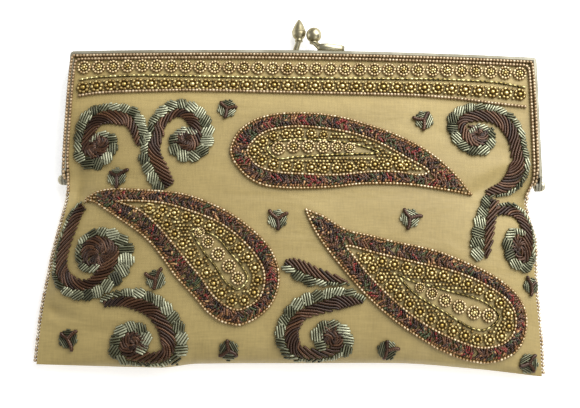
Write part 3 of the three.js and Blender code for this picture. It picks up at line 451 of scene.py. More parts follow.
# Clasp: a turned acorn knob on the back half and a ball on a leaf-shaped foot on the front half.
# Each is brazed to a bent stem, whose tenon is riveted through the frame's top. Pale gold plating.
SEAT_Y = FRAME_TOP + 0.3
FOOT = 0.7
STEM = 1.3
TENON = 0.75
ACORN = dict(x=-2.1, y=67.5, z=4.5, foot_x=-3.7, foot_radius=1.7, frame_z=2.7)
BALL = dict(x=4.7, y=69.95, z=6.7, radius=3.5, foot_x=8.2, frame_z=8.5)
LEAF = dict(end=18.6, half=1.9, height=3.4, tip_height=3)
TENON_DEPTH = 1.4
SOLDER_REACH = 0.000002
# radius, height of the acorn's turned profile
ACORN_PROFILE = np.array([
    (0, 0), (1.6, 0), (1.75, 0.25), (1.7, 0.55), (1.45, 0.95), (1.9, 1.4), (2.4, 1.9), (2.75, 2.5),
    (2.93, 3.1), (3.0, 3.8), (3.02, 4.1), (3.15, 4.25), (3.17, 4.45), (3.0, 4.65), (2.9, 4.9), (2.55, 5.9),
    (2.15, 6.9), (1.7, 7.8), (1.2, 8.7), (0.8, 9.3), (0.45, 9.8), (0, 10),
]) * [1.04, 1.06]
COLLAR_PROFILE = np.array([(0, 0), (1.9, 0), (1.95, 0.3), (1.6, 0.7), (1.5, 1.2), (0, 1.2)])


def ring_quads(rings, sides):
    """Quads between closed rings of points, one ring after another."""
    return quad_grid(np.arange(rings)[:, None] * sides + np.append(np.arange(sides), 0))


def bowed(start, bend, end, part):
    """Places along a bent line from start to end, drawn towards `bend`."""
    return (1 - part) ** 2 * start + 2 * part * (1 - part) * bend + part**2 * end


def turned(profile, centre, sides=36):
    """A profile of radius and height turned round an upright line through the centre."""
    angle = 2 * np.pi * np.arange(sides) / sides
    radius, height = (column[:, None] for column in profile.T)
    turned_points = np.stack(np.broadcast_arrays(
        centre[0] + radius * np.sin(angle), centre[1] + height, centre[2] + radius * np.cos(angle)), -1)
    return turned_points.reshape(-1, 3), ring_quads(len(profile), sides)


def bent_stem(start, bend, end, radius, sides=14, steps=18):
    """A round section carried along the bent line from start to end, drawn towards `bend`. It is
    thickest at the start and tapers off evenly."""
    part = np.linspace(0, 1, steps)[:, None]
    line = bowed(start, bend, end, part)
    heading = unit(np.gradient(line, axis=0))
    across = unit(np.cross(heading, np.array([0.31, 0.12, 0.94])))
    other = np.cross(heading, across)
    angle = 2 * np.pi * np.arange(sides) / sides
    ring = np.cos(angle)[:, None] * across[:, None] + np.sin(angle)[:, None] * other[:, None]
    taper = radius * (1.1 - 0.15 * part)[:, None]
    return (line[:, None] + taper * ring).reshape(-1, 3), ring_quads(steps, sides)


def leaf_plate(outline, bottom, thickness):
    """A plate: the outline in x and z at the bottom, at the top and a little smaller over it. Its
    thickness may change along the outline."""
    thickness = np.broadcast_to(thickness, len(outline))
    ring = np.stack([outline[:, 0], thickness, outline[:, 1]], -1)
    middle = ring.mean(0)
    levels = [(0.0, 0), (1.0, 0), (1.0, 0.85), (0.85, 1), (0.0, 1)]
    points = np.concatenate([
        (middle + size * (ring - middle)) * [1, level, 1] + [0, bottom, 0] for size, level in levels])
    return points, ring_quads(len(levels), len(ring))


def joined_metal(name, bodies, material):
    """Several closed bodies of one soldered piece in one mesh."""
    starts = np.cumsum([0] + [len(points) for points, _ in bodies[:-1]])
    points = np.concatenate([points for points, _ in bodies])
    quads = np.concatenate([quads + start for (_, quads), start in zip(bodies, starts)])
    piece = mesh_object(name, points, quads.ravel(), np.full(len(quads), 4), [material])
    weld = piece.modifiers.new("weld", "WELD")
    weld.merge_threshold = SOLDER_REACH
    return piece


gilding = metal_finish(
    "pale_gold_plating", paint(194, 187, 158), paint(160, 150, 118), (0.52, 0.49, 0.4, 1), 240,
    0.4, 0.29)


def tenon_and_stem(knob, base_y):
    """The tenon below the foot and the stem that leans from the foot to the knob's base."""
    tenon = np.array([(0, -TENON_DEPTH), (TENON, -TENON_DEPTH), (TENON, FOOT - 0.1), (0, FOOT - 0.1)])
    start = np.array([knob["foot_x"], SEAT_Y + FOOT - 0.4, knob["frame_z"]])
    end = np.array([knob["x"], base_y + 0.6, knob["z"]])
    bend = np.array([
        start[0] + 0.1 * (end[0] - start[0]), start[1] + 1.6, start[2] + 0.3 * (end[2] - start[2])])
    return [turned(tenon, (knob["foot_x"], SEAT_Y, knob["frame_z"]), 16), bent_stem(start, bend, end, STEM)]


full_turn = np.linspace(0, 2 * np.pi, 25)[:-1]
circle = np.stack([np.sin(full_turn), np.cos(full_turn)], -1)
acorn_foot = leaf_plate(
    circle * ACORN["foot_radius"] + [ACORN["foot_x"], ACORN["frame_z"]], SEAT_Y, FOOT)
acorn = joined_metal("clasp_acorn", [
    turned(ACORN_PROFILE, (ACORN["x"], ACORN["y"], ACORN["z"])), acorn_foot,
    *tenon_and_stem(ACORN, ACORN["y"])], gilding)
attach(acorn, "root")
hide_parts("clasp_knob_pointed")

half_turn = np.linspace(0, np.pi, 25)
ball_profile = BALL["radius"] * np.stack([np.sin(half_turn), -np.cos(half_turn)], -1)
collar_y = BALL["y"] - BALL["radius"] - 0.4
leaf_start = np.array([BALL["foot_x"] - LEAF["half"], 0])
leaf_tip = np.array([LEAF["end"], 0])
leaf_bend = np.array([BALL["foot_x"], 1.9 * LEAF["half"]])
leaf_side = bowed(leaf_start, leaf_bend, leaf_tip, np.linspace(0, 1, 15)[:, None])
leaf_outline = np.concatenate([leaf_side, (leaf_side * [1, -1])[-2:0:-1]]) + [0, BALL["frame_z"]]
leaf_height = np.interp(
    leaf_outline[:, 0], [BALL["foot_x"], LEAF["end"]], [LEAF["height"], LEAF["tip_height"]])
ball = joined_metal("clasp_ball", [
    turned(ball_profile, (BALL["x"], BALL["y"], BALL["z"])),
    turned(COLLAR_PROFILE, (BALL["x"], collar_y, BALL["z"])),
    leaf_plate(leaf_outline, SEAT_Y, leaf_height), *tenon_and_stem(BALL, collar_y)], gilding)
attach(ball, "root")
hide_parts("clasp_knob_round")

# Double row of seed beads just inside the front frame, along the top and down both arms to the
# hinges. Gold-lined glass, threaded through the hole and stitched down on the satin.
SEED = 1.5
SEED_LENGTH = 1.42
ROW_TINTS = (0.3, 0.65)
ROW_INSET = 2.2
ROW_APART = 1.5
ROW_LIFTS = (1.35, 1.05)
ROW_BENDS = (2.2, 5.0)
ARM_PLACES = 60
TOP_PLACES = 120
# how near the frame's side beads start to ride on its rim, how far they rise, and from which y up
RIM_REACH = 2.3
RIM_RISE = 0.95
RIM_FROM = 3
# painted highlight on each bead's top and painted shade round its sides: how narrow the highlight is, how
# dark the sides are painted and how strongly both change the tint; then the tint that shows its body colour
HIGHLIGHT_POWER = 5.0
PAINTED_SIDE_SHADE = 0.3
PAINTED_HIGHLIGHT_DEPTH = 0.82
BODY_TINT = 0.55
# y, x of the outer and of the inner row along the left arm, then along the right arm. The outer rows
# end at the hinges, the inner ones run on to the edge strings.
ROW_ARMS = {
    ("left", 0): np.array([
        (1.2, -104.8), (4, -105), (8, -105.1), (26, -104.9), (45.5, -104.4), (58, -103.5)]),
    ("left", 1): np.array([
        (-4.6, -103.1), (-2, -103.2), (2.6, -103.4), (7, -103.5), (26, -103.4), (45.5, -103), (58, -102.2)]),
    ("right", 0): np.array([(1.5, 102.4), (4.2, 103.6), (10, 103.7), (46.7, 103.2), (58, 102.6)]),
    ("right", 1): np.array([
        (-4.6, 98.9), (-1.8, 99.5), (0.2, 100.6), (2.2, 101.6), (4.2, 102.1), (10, 102.2), (46.7, 101.7),
        (58, 101.1)]),
}


def bead_shape(stations, radii, sides):
    """A bead of unit length and thickness: a ring of points at each station along the hole, joined
    by quads, with a flat face at both ends. Gives its points, face corners and face sizes."""
    angle = 2 * np.pi * np.arange(sides) / sides
    ring = np.stack([np.cos(angle), np.sin(angle)], -1)
    stations = np.asarray(stations, float)
    radii = np.asarray(radii, float)
    rings = len(radii)
    points = np.concatenate([
        np.repeat(stations, sides)[:, None], np.repeat(radii, sides)[:, None] * np.tile(ring, (rings, 1))], 1)
    ends = np.concatenate([np.arange(sides)[::-1], (rings - 1) * sides + np.arange(sides)])
    sizes = np.concatenate([np.full((rings - 1) * sides, 4), [sides, sides]])
    return points, np.concatenate([ring_quads(rings, sides).ravel(), ends]), sizes


SEED_SHAPE = bead_shape((-0.5, -0.33, 0, 0.33, 0.5), (0.28, 0.45, 0.5, 0.45, 0.28), 8)


def sewn(plan, heading, lift):
    """Where beads sit on the front panel: each point in plan raised along the panel's normal, with
    the hole's way laid along the panel. Gives centres, ways and normals."""
    x, y = plan[:, 0], plan[:, 1]
    up = panel_normal(front_z, x, y)
    centre = np.stack([x, y, front_z(x, y)], -1) + up * np.reshape(lift, (-1, 1))
    way = np.concatenate([heading, -(heading * up[:, :2]).sum(1, keepdims=True) / up[:, 2:]], 1)
    return centre, unit(way), up


def copies(material, shape, placed, length, thickness, tint):
    """Copies of one bead: each is its centre + length along the way + thickness across it. Gives the
    material, points, face corners, face sizes, and at every point the bead's tint and its painted highlight:
    1 on top of the bead and 0 round its sides, a highlight on top and shade round the sides painted into the
    colour."""
    shape_points, shape_loops, shape_sizes = shape
    centre, way, up = placed
    count = len(centre)
    side = np.cross(up, way)
    long_part = np.broadcast_to(length, count)[:, None, None] * shape_points[None, :, :1]
    thick = np.broadcast_to(thickness, count)[:, None, None] * shape_points[None, :, 1:]
    points = (centre[:, None] + long_part * way[:, None] + thick[..., :1] * side[:, None]
              + thick[..., 1:] * up[:, None])
    first = len(shape_points) * np.arange(count)[:, None]
    tints = np.repeat(np.broadcast_to(tint, count), len(shape_points))
    # painted highlight: 1 where a point of the bead faces up, 0 round its sides
    painted_highlights = np.tile(np.clip(2 * shape_points[:, 2], 0, 1), count)
    loops = (first + shape_loops).ravel()
    return material, points.reshape(-1, 3), loops, np.tile(shape_sizes, count), tints, painted_highlights


def stitched(material, shape, plan, heading, lift, size, tints):
    """Copies of one bead stitched to the front panel: `size` is its length and thickness, and each
    bead's tint is drawn between two bounds. Without a heading the holes point to the right."""
    if heading is None:
        heading = np.tile([1.0, 0.0], (len(plan), 1))
    return copies(material, shape, sewn(plan, heading, lift), *size, dice.uniform(*tints, len(plan)))


def bead_piece(name, batches):
    """One mesh of many beads, a material for each batch; tint and painted highlight go into attributes."""
    starts = np.cumsum([0] + [len(batch[1]) for batch in batches[:-1]])
    piece = mesh_object(
        name, np.concatenate([batch[1] for batch in batches]),
        np.concatenate([batch[2] + first for batch, first in zip(batches, starts)]),
        np.concatenate([batch[3] for batch in batches]), [batch[0] for batch in batches],
        np.repeat(np.arange(len(batches)), [len(batch[3]) for batch in batches]))
    for column, layer_name in ((4, "tint"), (5, "crown")):
        layer = piece.data.attributes.new(layer_name, "FLOAT", "POINT")
        values = np.concatenate([batch[column] for batch in batches])
        layer.data.foreach_set("value", values.astype(np.float32))
    return piece


def run_along(line):
    """The distance travelled along a line at each of its points."""
    return np.concatenate([[0], np.cumsum(np.linalg.norm(np.diff(line, axis=0), axis=1))])


def spread(line, pitch, closed=False):
    """Points at an even pitch along a line of points, with the line's heading there."""
    if closed:
        line = np.concatenate([line, line[:1]])
    run = run_along(line)
    count = max(2, int(round(run[-1] / pitch)))
    at = run[-1] * (np.arange(count) + (0 if closed else 0.5)) / count
    step = 0.25 * pitch

    def place_at(distance):
        """The line's point at a distance travelled."""
        return np.stack([np.interp(distance, run, column) for column in line.T], -1)

    heading = place_at(np.minimum(at + step, run[-1])) - place_at(np.maximum(at - step, 0))
    return place_at(at), unit(heading)


def rounded(line, reach, step=0.25):
    """A line with its corners rounded: each place moves to the mean of the line over `reach` about it,
    a span that shrinks to nothing at both ends."""
    even, _ = spread(line, step)
    here = np.arange(len(even))
    half = np.minimum(int(reach / step / 2), np.minimum(here, here[::-1]))
    total = np.concatenate([np.zeros((1, 2)), np.cumsum(even, axis=0)])
    return (total[here + half + 1] - total[here - half]) / (2 * half + 1)[:, None]


def frame_row(row):
    """A bead row: up the left arm's line, over the flat arch and down the right arm's line."""
    corner = CORNER_Y - ROW_INSET - row * ROW_APART
    arms = []
    for side in ("left", "right"):
        arm = ROW_ARMS[side, row]
        y = np.linspace(arm[0, 0], corner, ARM_PLACES)
        arms.append(np.stack([smooth_line(arm, 1, y), y], -1))
    left, right = arms
    x = np.linspace(left[-1, 0], right[-1, 0], TOP_PLACES)[1:-1]
    top = np.stack([x, corner + ARCH * (1 - (x / right[-1, 0]) ** 2)], -1)
    return rounded(np.concatenate([left, top, right[::-1]]), ROW_BENDS[row])


def over_rim(plan):
    """How much higher beads lie where they ride on the frame's rim."""
    half = HALF_HINGE + (HALF_TOP - HALF_HINGE) * (plan[:, 1] - HINGE_Y) / (CORNER_Y - HINGE_Y)
    rise = np.clip(RIM_REACH - half + np.abs(plan[:, 0]), 0, RIM_RISE)
    return np.where(plan[:, 1] > RIM_FROM, rise, 0)


# Bead tone: a dark, a body and a bright colour picked by each bead's own tint, with a painted highlight on
# its top and painted shade round its sides, slightly clouded.
bead_tone, given, put = new_group(
    "bead_tone",
    [("Tint", "Float", 0.5), ("Painted Highlight", "Float", 0.5), ("Vector", "Vector", (0, 0, 0)),
     ("Dark", "Color", (0, 0, 0, 1)), ("Body", "Color", (0.5, 0.5, 0.5, 1)),
     ("Bright", "Color", (1, 1, 1, 1)), ("Gloss", "Float", 0.2)],
    [("Color", "Color"), ("Roughness", "Float")],
)
painted_highlight_lift = reckoned(
    bead_tone, "SUBTRACT", reckoned(bead_tone, "POWER", given["Painted Highlight"], HIGHLIGHT_POWER), PAINTED_SIDE_SHADE)
painted_highlight_tint = reckoned(bead_tone, "MULTIPLY_ADD", painted_highlight_lift, PAINTED_HIGHLIGHT_DEPTH, given["Tint"])
body_tone = blended(bead_tone, ranged(bead_tone, painted_highlight_tint, 0, 1, 0, BODY_TINT), given["Dark"], given["Body"])
bright_tone = blended(bead_tone, ranged(bead_tone, painted_highlight_tint, 0, 1, BODY_TINT, 1), body_tone, given["Bright"])
cloud = noise(bead_tone, given["Vector"], 1400.0, 1.0)
feed(
    bead_tone, put, Color=scaled(bead_tone, bright_tone, ranged(bead_tone, cloud, 0.7, 1.25)),
    Roughness=reckoned(bead_tone, "MULTIPLY_ADD", cloud, 0.16, given["Gloss"]))


def point_value(tree, attribute):
    """A value kept at the points of a mesh."""
    return add_node(tree, "ShaderNodeAttribute", attribute_name=attribute).outputs["Fac"]


def bead_finish(name, dark, body, bright, gloss, metallic):
    """A bead's material: its tone by the tint and the painted highlight attributes, with highlight and side
    shade painted into the colour, and its own gloss. The three colours are given as seen on a screen."""
    material, tree, shader = new_finish(name, Metallic=metallic)
    tone = add_node(tree, "ShaderNodeGroup", {
        "Tint": point_value(tree, "tint"), "Painted Highlight": point_value(tree, "crown"),
        "Vector": add_node(tree, "ShaderNodeTexCoord").outputs["Object"], "Dark": paint(*dark),
        "Body": paint(*body), "Bright": paint(*bright), "Gloss": gloss}, node_tree=bead_tone).outputs
    feed(tree, shader.inputs, Base_Color=tone["Color"], Roughness=tone["Roughness"])
    return material


gold_glass = bead_finish("gold_lined_seed", (112, 86, 54), (170, 142, 102), (238, 220, 188), 0.24, 0.3)
dice = np.random.default_rng(7)
row_beads = [spread(frame_row(row), SEED) for row in (0, 1)]
frame_rows = bead_piece("frame_bead_rows_sewn", [
    stitched(gold_glass, SEED_SHAPE, plan, heading, lift + over_rim(plan), (SEED_LENGTH, SEED), ROW_TINTS)
    for (plan, heading), lift in zip(row_beads, ROW_LIFTS)])
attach(frame_rows, "root")
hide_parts("frame_bead_rows")

# Rosette band under the frame: a row of ring rosettes, a line of short bugles, a row of flowers of
# eight beads round a large one, and a bead line under them, all stitched to the satin.
PATTERN_LEVEL = 13.0
PATTERN_EYE = np.array([-5.1, -87.6, 457.0])
BAND_ENDS = (-99.6, 99)
RING_ENDS = (-97.6, 96.3)
FLOWER_ENDS = (-97.6, 96.1)
RINGS = 31
FLOWERS = 33
BUGLE_PITCH = 2.1
BAND_STEPS = 200
# beads in a rosette's ring, inside it, and round a flower: number, radius of the circle, turn, and the
# length and thickness of a bead; then the same two sizes of the bead in the middle
RING_BEADS, RING_RADIUS, RING_TURN, RING_SIZE = 12, 2.55, 0.0, (1.2, 1.3)
INNER_BEADS, INNER_RADIUS, INNER_TURN, INNER_SIZE = 6, 1.2, 0.3, (1.1, 1.15)
PETAL_BEADS, PETAL_RADIUS, PETAL_TURN, PETAL_SIZE = 8, 2.0, 0.2, (1.5, 1.6)
RING_MIDDLE = (1.35, 1.45)
FLOWER_MIDDLE = (1.9, 2.1)
# x, y of the ring rosettes, of the bugle line, of the flowers and of the lower bead line
RING_LINE = np.array([
    (-99, 50.9), (-86, 51.4), (-71, 52.1), (-6, 51.8), (56, 51.9), (77, 51.7), (90, 51.2), (99, 50.8)])
BUGLE_LINE = np.array([
    (-99, 45.4), (-94.7, 46.2), (-82, 47.3), (-68, 47.8), (-6, 47.5), (56, 47.8), (83, 47), (99, 44.6)])
FLOWER_LINE = np.array([
    (-99, 41.5), (-87, 42.8), (-68, 43.8), (-6, 43.8), (59, 43.6), (71, 43.1), (84, 42.2), (99, 41.1)])
LOWER_LINE = np.array([
    (-100, 37.2), (-90, 38.8), (-68, 40), (-46, 40.6), (-6, 40.2), (43, 39.8), (65, 38.7), (87, 36.3),
    (100, 35)])
SMALL_SHAPE = bead_shape((-0.5, -0.28, 0.28, 0.5), (0.28, 0.5, 0.5, 0.28), 7)
BUGLE_SHAPE = bead_shape((-0.5, -0.46, 0.46, 0.5), (0.34, 0.5, 0.5, 0.34), 7)


def draped(plan):
    """The pattern is drawn on a level sheet at the pillow's top and carried on to the panel along the
    line from a point high over the bag: each place moves out by its fall over that height."""
    plan = np.asarray(plan, float)
    fall = PATTERN_LEVEL - front_z(plan[:, 0], plan[:, 1])
    return plan + fall[:, None] * (plan - PATTERN_EYE[:2]) / (PATTERN_EYE[2] - PATTERN_LEVEL)


def ring_of(centres, radius, count, turn=0.0):
    """`count` places on a circle round each centre, with the heading along the circle."""
    angle = turn + 2 * np.pi * np.arange(count) / count
    way = np.stack([np.cos(angle), np.sin(angle)], -1)
    plan = centres[:, None] + np.reshape(radius, (-1, 1, 1)) * way
    heading = np.broadcast_to(np.stack([-np.sin(angle), np.cos(angle)], -1), plan.shape)
    return plan.reshape(-1, 2), heading.reshape(-1, 2)


def table_line(table, x):
    """Points in plan on a table's smooth line, draped."""
    return draped(np.stack([x, smooth_line(table, 1, x)], -1))


def ring_rosettes(centres, size=1.0):
    """A ring of twelve small beads, six more inside it and a bright one in the middle."""
    size = np.broadcast_to(size, len(centres))
    outer, outer_way = ring_of(centres, RING_RADIUS * size, RING_BEADS, RING_TURN)
    inner, inner_way = ring_of(centres, INNER_RADIUS * size, INNER_BEADS, INNER_TURN)
    outer_size = np.outer(RING_SIZE, np.repeat(size, RING_BEADS))
    inner_size = np.outer(INNER_SIZE, np.repeat(size, INNER_BEADS))
    return [
        stitched(copper_glass, SMALL_SHAPE, outer, outer_way, 0.85, outer_size, (0.4, 0.85)),
        stitched(old_gold, SMALL_SHAPE, inner, inner_way, 0.8, inner_size, (0.35, 0.75)),
        stitched(cream_glass, SEED_SHAPE, centres, None, 1.15, np.outer(RING_MIDDLE, size), (0.4, 0.9)),
    ]


def bead_flowers(centres, size=1.0):
    """Eight beads round one large bright bead."""
    size = np.broadcast_to(size, len(centres))
    petals, petal_way = ring_of(centres, PETAL_RADIUS * size, PETAL_BEADS, PETAL_TURN)
    petal_size = np.outer(PETAL_SIZE, np.repeat(size, PETAL_BEADS))
    return [
        stitched(old_gold, SEED_SHAPE, petals, petal_way, 0.9, petal_size, (0.28, 0.66)),
        stitched(cream_glass, SEED_SHAPE, centres, None, 1.1, np.outer(FLOWER_MIDDLE, size), (0.3, 0.85)),
    ]


old_gold = bead_finish("old_gold_seed", (82, 60, 20), (146, 116, 53), (252, 238, 172), 0.2, 0.4)
copper_glass = bead_finish("copper_lined_seed", (108, 80, 44), (170, 138, 88), (244, 224, 176), 0.2, 0.4)
cream_glass = bead_finish("cream_gold_bead", (96, 70, 26), (190, 156, 76), (252, 238, 176), 0.12, 0.75)
olive_glass = bead_finish("olive_gold_bugle", (56, 48, 22), (148, 128, 70), (236, 222, 156), 0.12, 0.8)
ring_centres = table_line(RING_LINE, np.linspace(*RING_ENDS, RINGS))
flower_centres = table_line(FLOWER_LINE, np.linspace(*FLOWER_ENDS, FLOWERS))
band_x = np.linspace(*BAND_ENDS, BAND_STEPS)
bugle_plan, bugle_way = spread(table_line(BUGLE_LINE, band_x), BUGLE_PITCH)
lower_plan, lower_way = spread(table_line(LOWER_LINE, band_x) + [0, 0.6], SEED)
between = (flower_centres[1:] + flower_centres[:-1]) / 2
between = np.concatenate([between + [0, 2.1], between - [0, 2.1]])
band = bead_piece("rosette_band_sewn", [
    *ring_rosettes(ring_centres), *bead_flowers(flower_centres, 1.06),
    stitched(old_gold, SMALL_SHAPE, between, None, 0.8, (1.2, 1.25), (0.3, 0.7)),
    stitched(olive_glass, BUGLE_SHAPE, bugle_plan, bugle_way, 0.7, (1.9, 1.1), (0.15, 0.95)),
    stitched(gold_glass, SEED_SHAPE, lower_plan, lower_way, 0.9, (1.4, SEED), (0.3, 0.7))])
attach(band, "root")
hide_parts("rosette_band")

# Three paisleys: an outline of gold seed beads, a plaited border of tiny dark brown beads with red and
# green strands in patches, an inner bead line, flowers along it, and in the middle a teardrop of bugles
# with ring rosettes.
OUTLINE_INSET = 0.8
BORDER_START = 1.7
BORDER_PITCH = 1.15
BRAID_LEAN = 2.6
MOTIF = 17.0
GOLD_TIP = 6.4
OUTLINE_SIZE = (1.38, 1.34)
OUTLINE_TINTS = (0.25, 0.7)
TEARDROP_PITCH = 2.2
FLOWER_INSET = 3.1
FLOWER_PITCH = 5.5
FILLER_APART = 1.56
FILLER_ROWS = 1.4
# beads in a strand of the border, and the tints of its coloured beads in the IRIS table
STRAND = 4
COPPER, PALE_GLINT_TAN, RED, GREEN = 0.65, 0.75, 0.85, 0.95
# Both sides of the outline from the belly's back to the tip, the inner bead line, the teardrop of
# bugles, and the ring rosettes with their size.
PAISLEYS = {
    "paisley_upper": dict(
        left=[(-32.1, 15.4), (-30.4, 20), (-27.4, 24.2), (-20.7, 28.8), (-12, 31.3), (0, 32), (10, 31.4),
              (20, 29.7), (30, 26.8), (40, 23.2), (50, 18.6), (60, 12), (68, 4.4), (72.5, -1.4),
              (74.7, -4.4)],
        right=[(-32.1, 12.8), (-30.8, 9.2), (-28, 5.4), (-24, 1.5), (-18, -1.7), (-10, -3), (0, -3.2),
               (14, -2.4), (26, -0.9), (40, -0.6), (50, -1.2), (60, -2.6), (70, -4.2), (74.3, -5)],
        inner=[(-24.1, 14), (-21.6, 18.4), (-16.4, 22.5), (-6, 25), (4.6, 25), (20.9, 22.7), (33.2, 18.6),
               (45, 12.1), (55.2, 5.8), (52, 4.2), (41.1, 5.4), (31.9, 5.4), (14.4, 3.6), (1.7, 3.8),
               (-12.3, 4.8), (-20.7, 8.1)],
        loop=[(-15.3, 15.2), (-12.6, 17.8), (-5.9, 19.2), (12.1, 19), (24, 17.4), (33.5, 14), (24, 13.2),
              (12.1, 12.6), (-2.3, 11.5), (-11.5, 10.8)],
        rings=[(-10.5, 15.2, 1), (-3.9, 16.2, 1), (2.6, 16.2, 1), (9.1, 16.2, 0.98), (15.2, 16.2, 0.9),
               (20.9, 15.9, 0.8)]),
    "paisley_left": dict(
        left=[(-27.8, -62.7), (-34, -61.2), (-40, -57.3), (-46, -50.7), (-50, -46.6), (-55, -41.2),
              (-60, -34.4), (-64.4, -29), (-70, -23.9), (-80, -17.1), (-85, -13.8), (-90, -10.6),
              (-94.2, -9.4)],
        right=[(-25.2, -62.7), (-19, -59.9), (-12.6, -54.2), (-9.5, -47.6), (-8.7, -41), (-9.7, -35.6),
               (-13, -28.6), (-20, -21.2), (-30, -13.8), (-40, -8.9), (-50, -5.5), (-60, -4.1), (-70, -3.5),
               (-83, -3.3), (-89, -4.7), (-93, -7.2), (-94.7, -8.6)],
        inner=[(-79.5, -9.5), (-70.8, -9.2), (-60, -10), (-47.6, -13.4), (-35.8, -18.1), (-25.6, -25.6),
               (-17.7, -35), (-15.6, -41.4), (-17.8, -50.5), (-27.1, -55.6), (-36.2, -50.8), (-43.3, -41.6),
               (-47.8, -36.6), (-62.6, -19.6), (-71.1, -12.8)],
        loop=[(-47.2, -21.4), (-37.3, -24), (-30.7, -30.9), (-24.5, -38.2), (-22.9, -42.4), (-26.9, -46.8),
              (-31.2, -44.7), (-37, -36.9), (-42.8, -29.7)],
        rings=[(-44, -22.6, 0.75), (-40.3, -26.7, 0.88), (-35.8, -31.8, 1), (-31, -37, 1),
               (-27.1, -42.1, 0.95)]),
    "paisley_right": dict(
        left=[(76.6, -76.9), (70, -75.8), (60, -72.2), (50, -66.6), (40, -59.9), (30, -51.4), (20, -40.7),
              (10, -28.4), (5, -20.8), (2, -14.4), (1, -11.6)],
        right=[(79.4, -76.9), (85, -75.9), (91.6, -72.5), (95.4, -66.9), (97, -60), (96.4, -54),
               (93, -47.4), (87, -41.8), (80, -37.4), (70, -32.9), (60, -29), (50, -26.6), (40, -24.7),
               (30, -22.2), (20, -20), (10, -14.3), (5, -12.2), (2, -11.2)],
        inner=[(19.5, -27.7), (32.3, -30.4), (48.6, -34.1), (68, -38.6), (79.9, -44), (89.2, -51),
               (91.6, -56.8), (91, -63.1), (87.1, -67.8), (77.7, -70.2), (65.4, -66.8), (53.1, -60.6),
               (42.5, -52.9), (31, -42), (22.4, -31.7)],
        loop=[(42.2, -39.8), (47.5, -42.2), (62.3, -46), (79.3, -51.2), (84.8, -57), (79.1, -62.5),
              (73.6, -62.2), (62.2, -55.8), (47.7, -46.6)],
        rings=[(51.1, -45, 0.72), (56.2, -47.6, 0.85), (61.9, -50.4, 0.95), (67.9, -53, 1),
               (74.1, -55.4, 1), (80.3, -56.6, 1)]),
}
TINY_SHAPE = bead_shape((-0.5, -0.25, 0.25, 0.5), (0.3, 0.5, 0.5, 0.3), 6)


def smooth_curve(points, steps=24, closed=False):
    """A line through points: cubic pieces with tangents from the neighbouring points, weighed by the
    square roots of their distances."""
    points = np.array(points, float)
    if closed:
        points = np.concatenate([points[-1:], points, points[:2]])
    else:
        points = np.concatenate([[2 * points[0] - points[1]], points, [2 * points[-1] - points[-2]]])
    gap = np.sqrt(np.linalg.norm(np.diff(points, axis=0), axis=1))[:, None]
    before, middle, after = gap[:-2], gap[1:-1], gap[2:]
    p0, p1, p2, p3 = points[:-3], points[1:-2], points[2:-1], points[3:]
    leave = ((p1 - p0) / before - (p2 - p0) / (before + middle) + (p2 - p1) / middle) * middle
    arrive = ((p2 - p1) / middle - (p3 - p1) / (middle + after) + (p3 - p2) / after) * middle
    t = (np.arange(steps) / steps)[:, None, None]
    line = ((2 * t**3 - 3 * t**2 + 1) * p1 + (t**3 - 2 * t**2 + t) * leave
            + (3 * t**2 - 2 * t**3) * p2 + (t**3 - t**2) * arrive)
    line = line.transpose(1, 0, 2).reshape(-1, 2)
    return line if closed else np.concatenate([line, points[-2:-1]])


def inset(line, reach):
    """A closed line moved to its inner side by `reach`, along its normals."""
    way = unit(np.roll(line, -1, axis=0) - np.roll(line, 1, axis=0))
    area = (line[:, 0] * np.roll(line[:, 1], -1) - line[:, 1] * np.roll(line[:, 0], -1)).sum()
    return line + reach * np.sign(area) * np.stack([-way[:, 1], way[:, 0]], -1)


def distance_to(places, line):
    """Distance of each place from the nearest point of a line."""
    return np.linalg.norm(places[:, None] - line[None], axis=2).min(1)


def inside(places, line):
    """Whether a ray to the right of each place crosses a closed line an odd number of times."""
    start, end = line, np.roll(line, -1, axis=0)
    x, y = places[:, :1], places[:, 1:]
    spans = (start[:, 1] > y) != (end[:, 1] > y)
    rise = np.where(end[:, 1] == start[:, 1], 1, end[:, 1] - start[:, 1])
    crossing = start[:, 0] + (y - start[:, 1]) / rise * (end[:, 0] - start[:, 0])
    return (spans & (x < crossing)).sum(1) % 2 == 1


amber_glass = bead_finish("amber_lined_seed", (108, 76, 34), (164, 130, 78), (255, 240, 206), 0.22, 0.35)
iris_glass, tree, shader = new_finish("iris_seed", Metallic=0.25)
iris = add_node(tree, "ShaderNodeValToRGB", {"Fac": point_value(tree, "tint")})
iris.color_ramp.interpolation = "CONSTANT"
# tint from which a colour holds, and the colour: three browns, copper, a pale tan for painted glints, red and
# green
IRIS = [
    (0.0, paint(30, 18, 13)), (0.2, paint(56, 35, 22)), (0.4, paint(88, 57, 36)), (0.6, paint(126, 88, 52)),
    (0.7, paint(170, 132, 88)), (0.8, paint(110, 38, 32)), (0.9, paint(60, 66, 38)),
]
while len(iris.color_ramp.elements) < len(IRIS):
    iris.color_ramp.elements.new(0.5)
for element, (position, colour) in zip(iris.color_ramp.elements, IRIS):
    element.position = position
    element.color = colour
flash = noise(tree, add_node(tree, "ShaderNodeTexCoord").outputs["Object"], 900.0)
flashing = scaled(tree, iris.outputs["Color"], ranged(tree, flash, 0.6, 1.4))
# painted highlight and painted shade: iris beads made lighter on their tops and darker round their sides
painted_highlight_shade = ranged(tree, point_value(tree, "crown"), 0.35, 1.6)
feed(
    tree, shader.inputs, Base_Color=scaled(tree, flashing, painted_highlight_shade),
    Roughness=ranged(tree, flash, 0.12, 0.3))


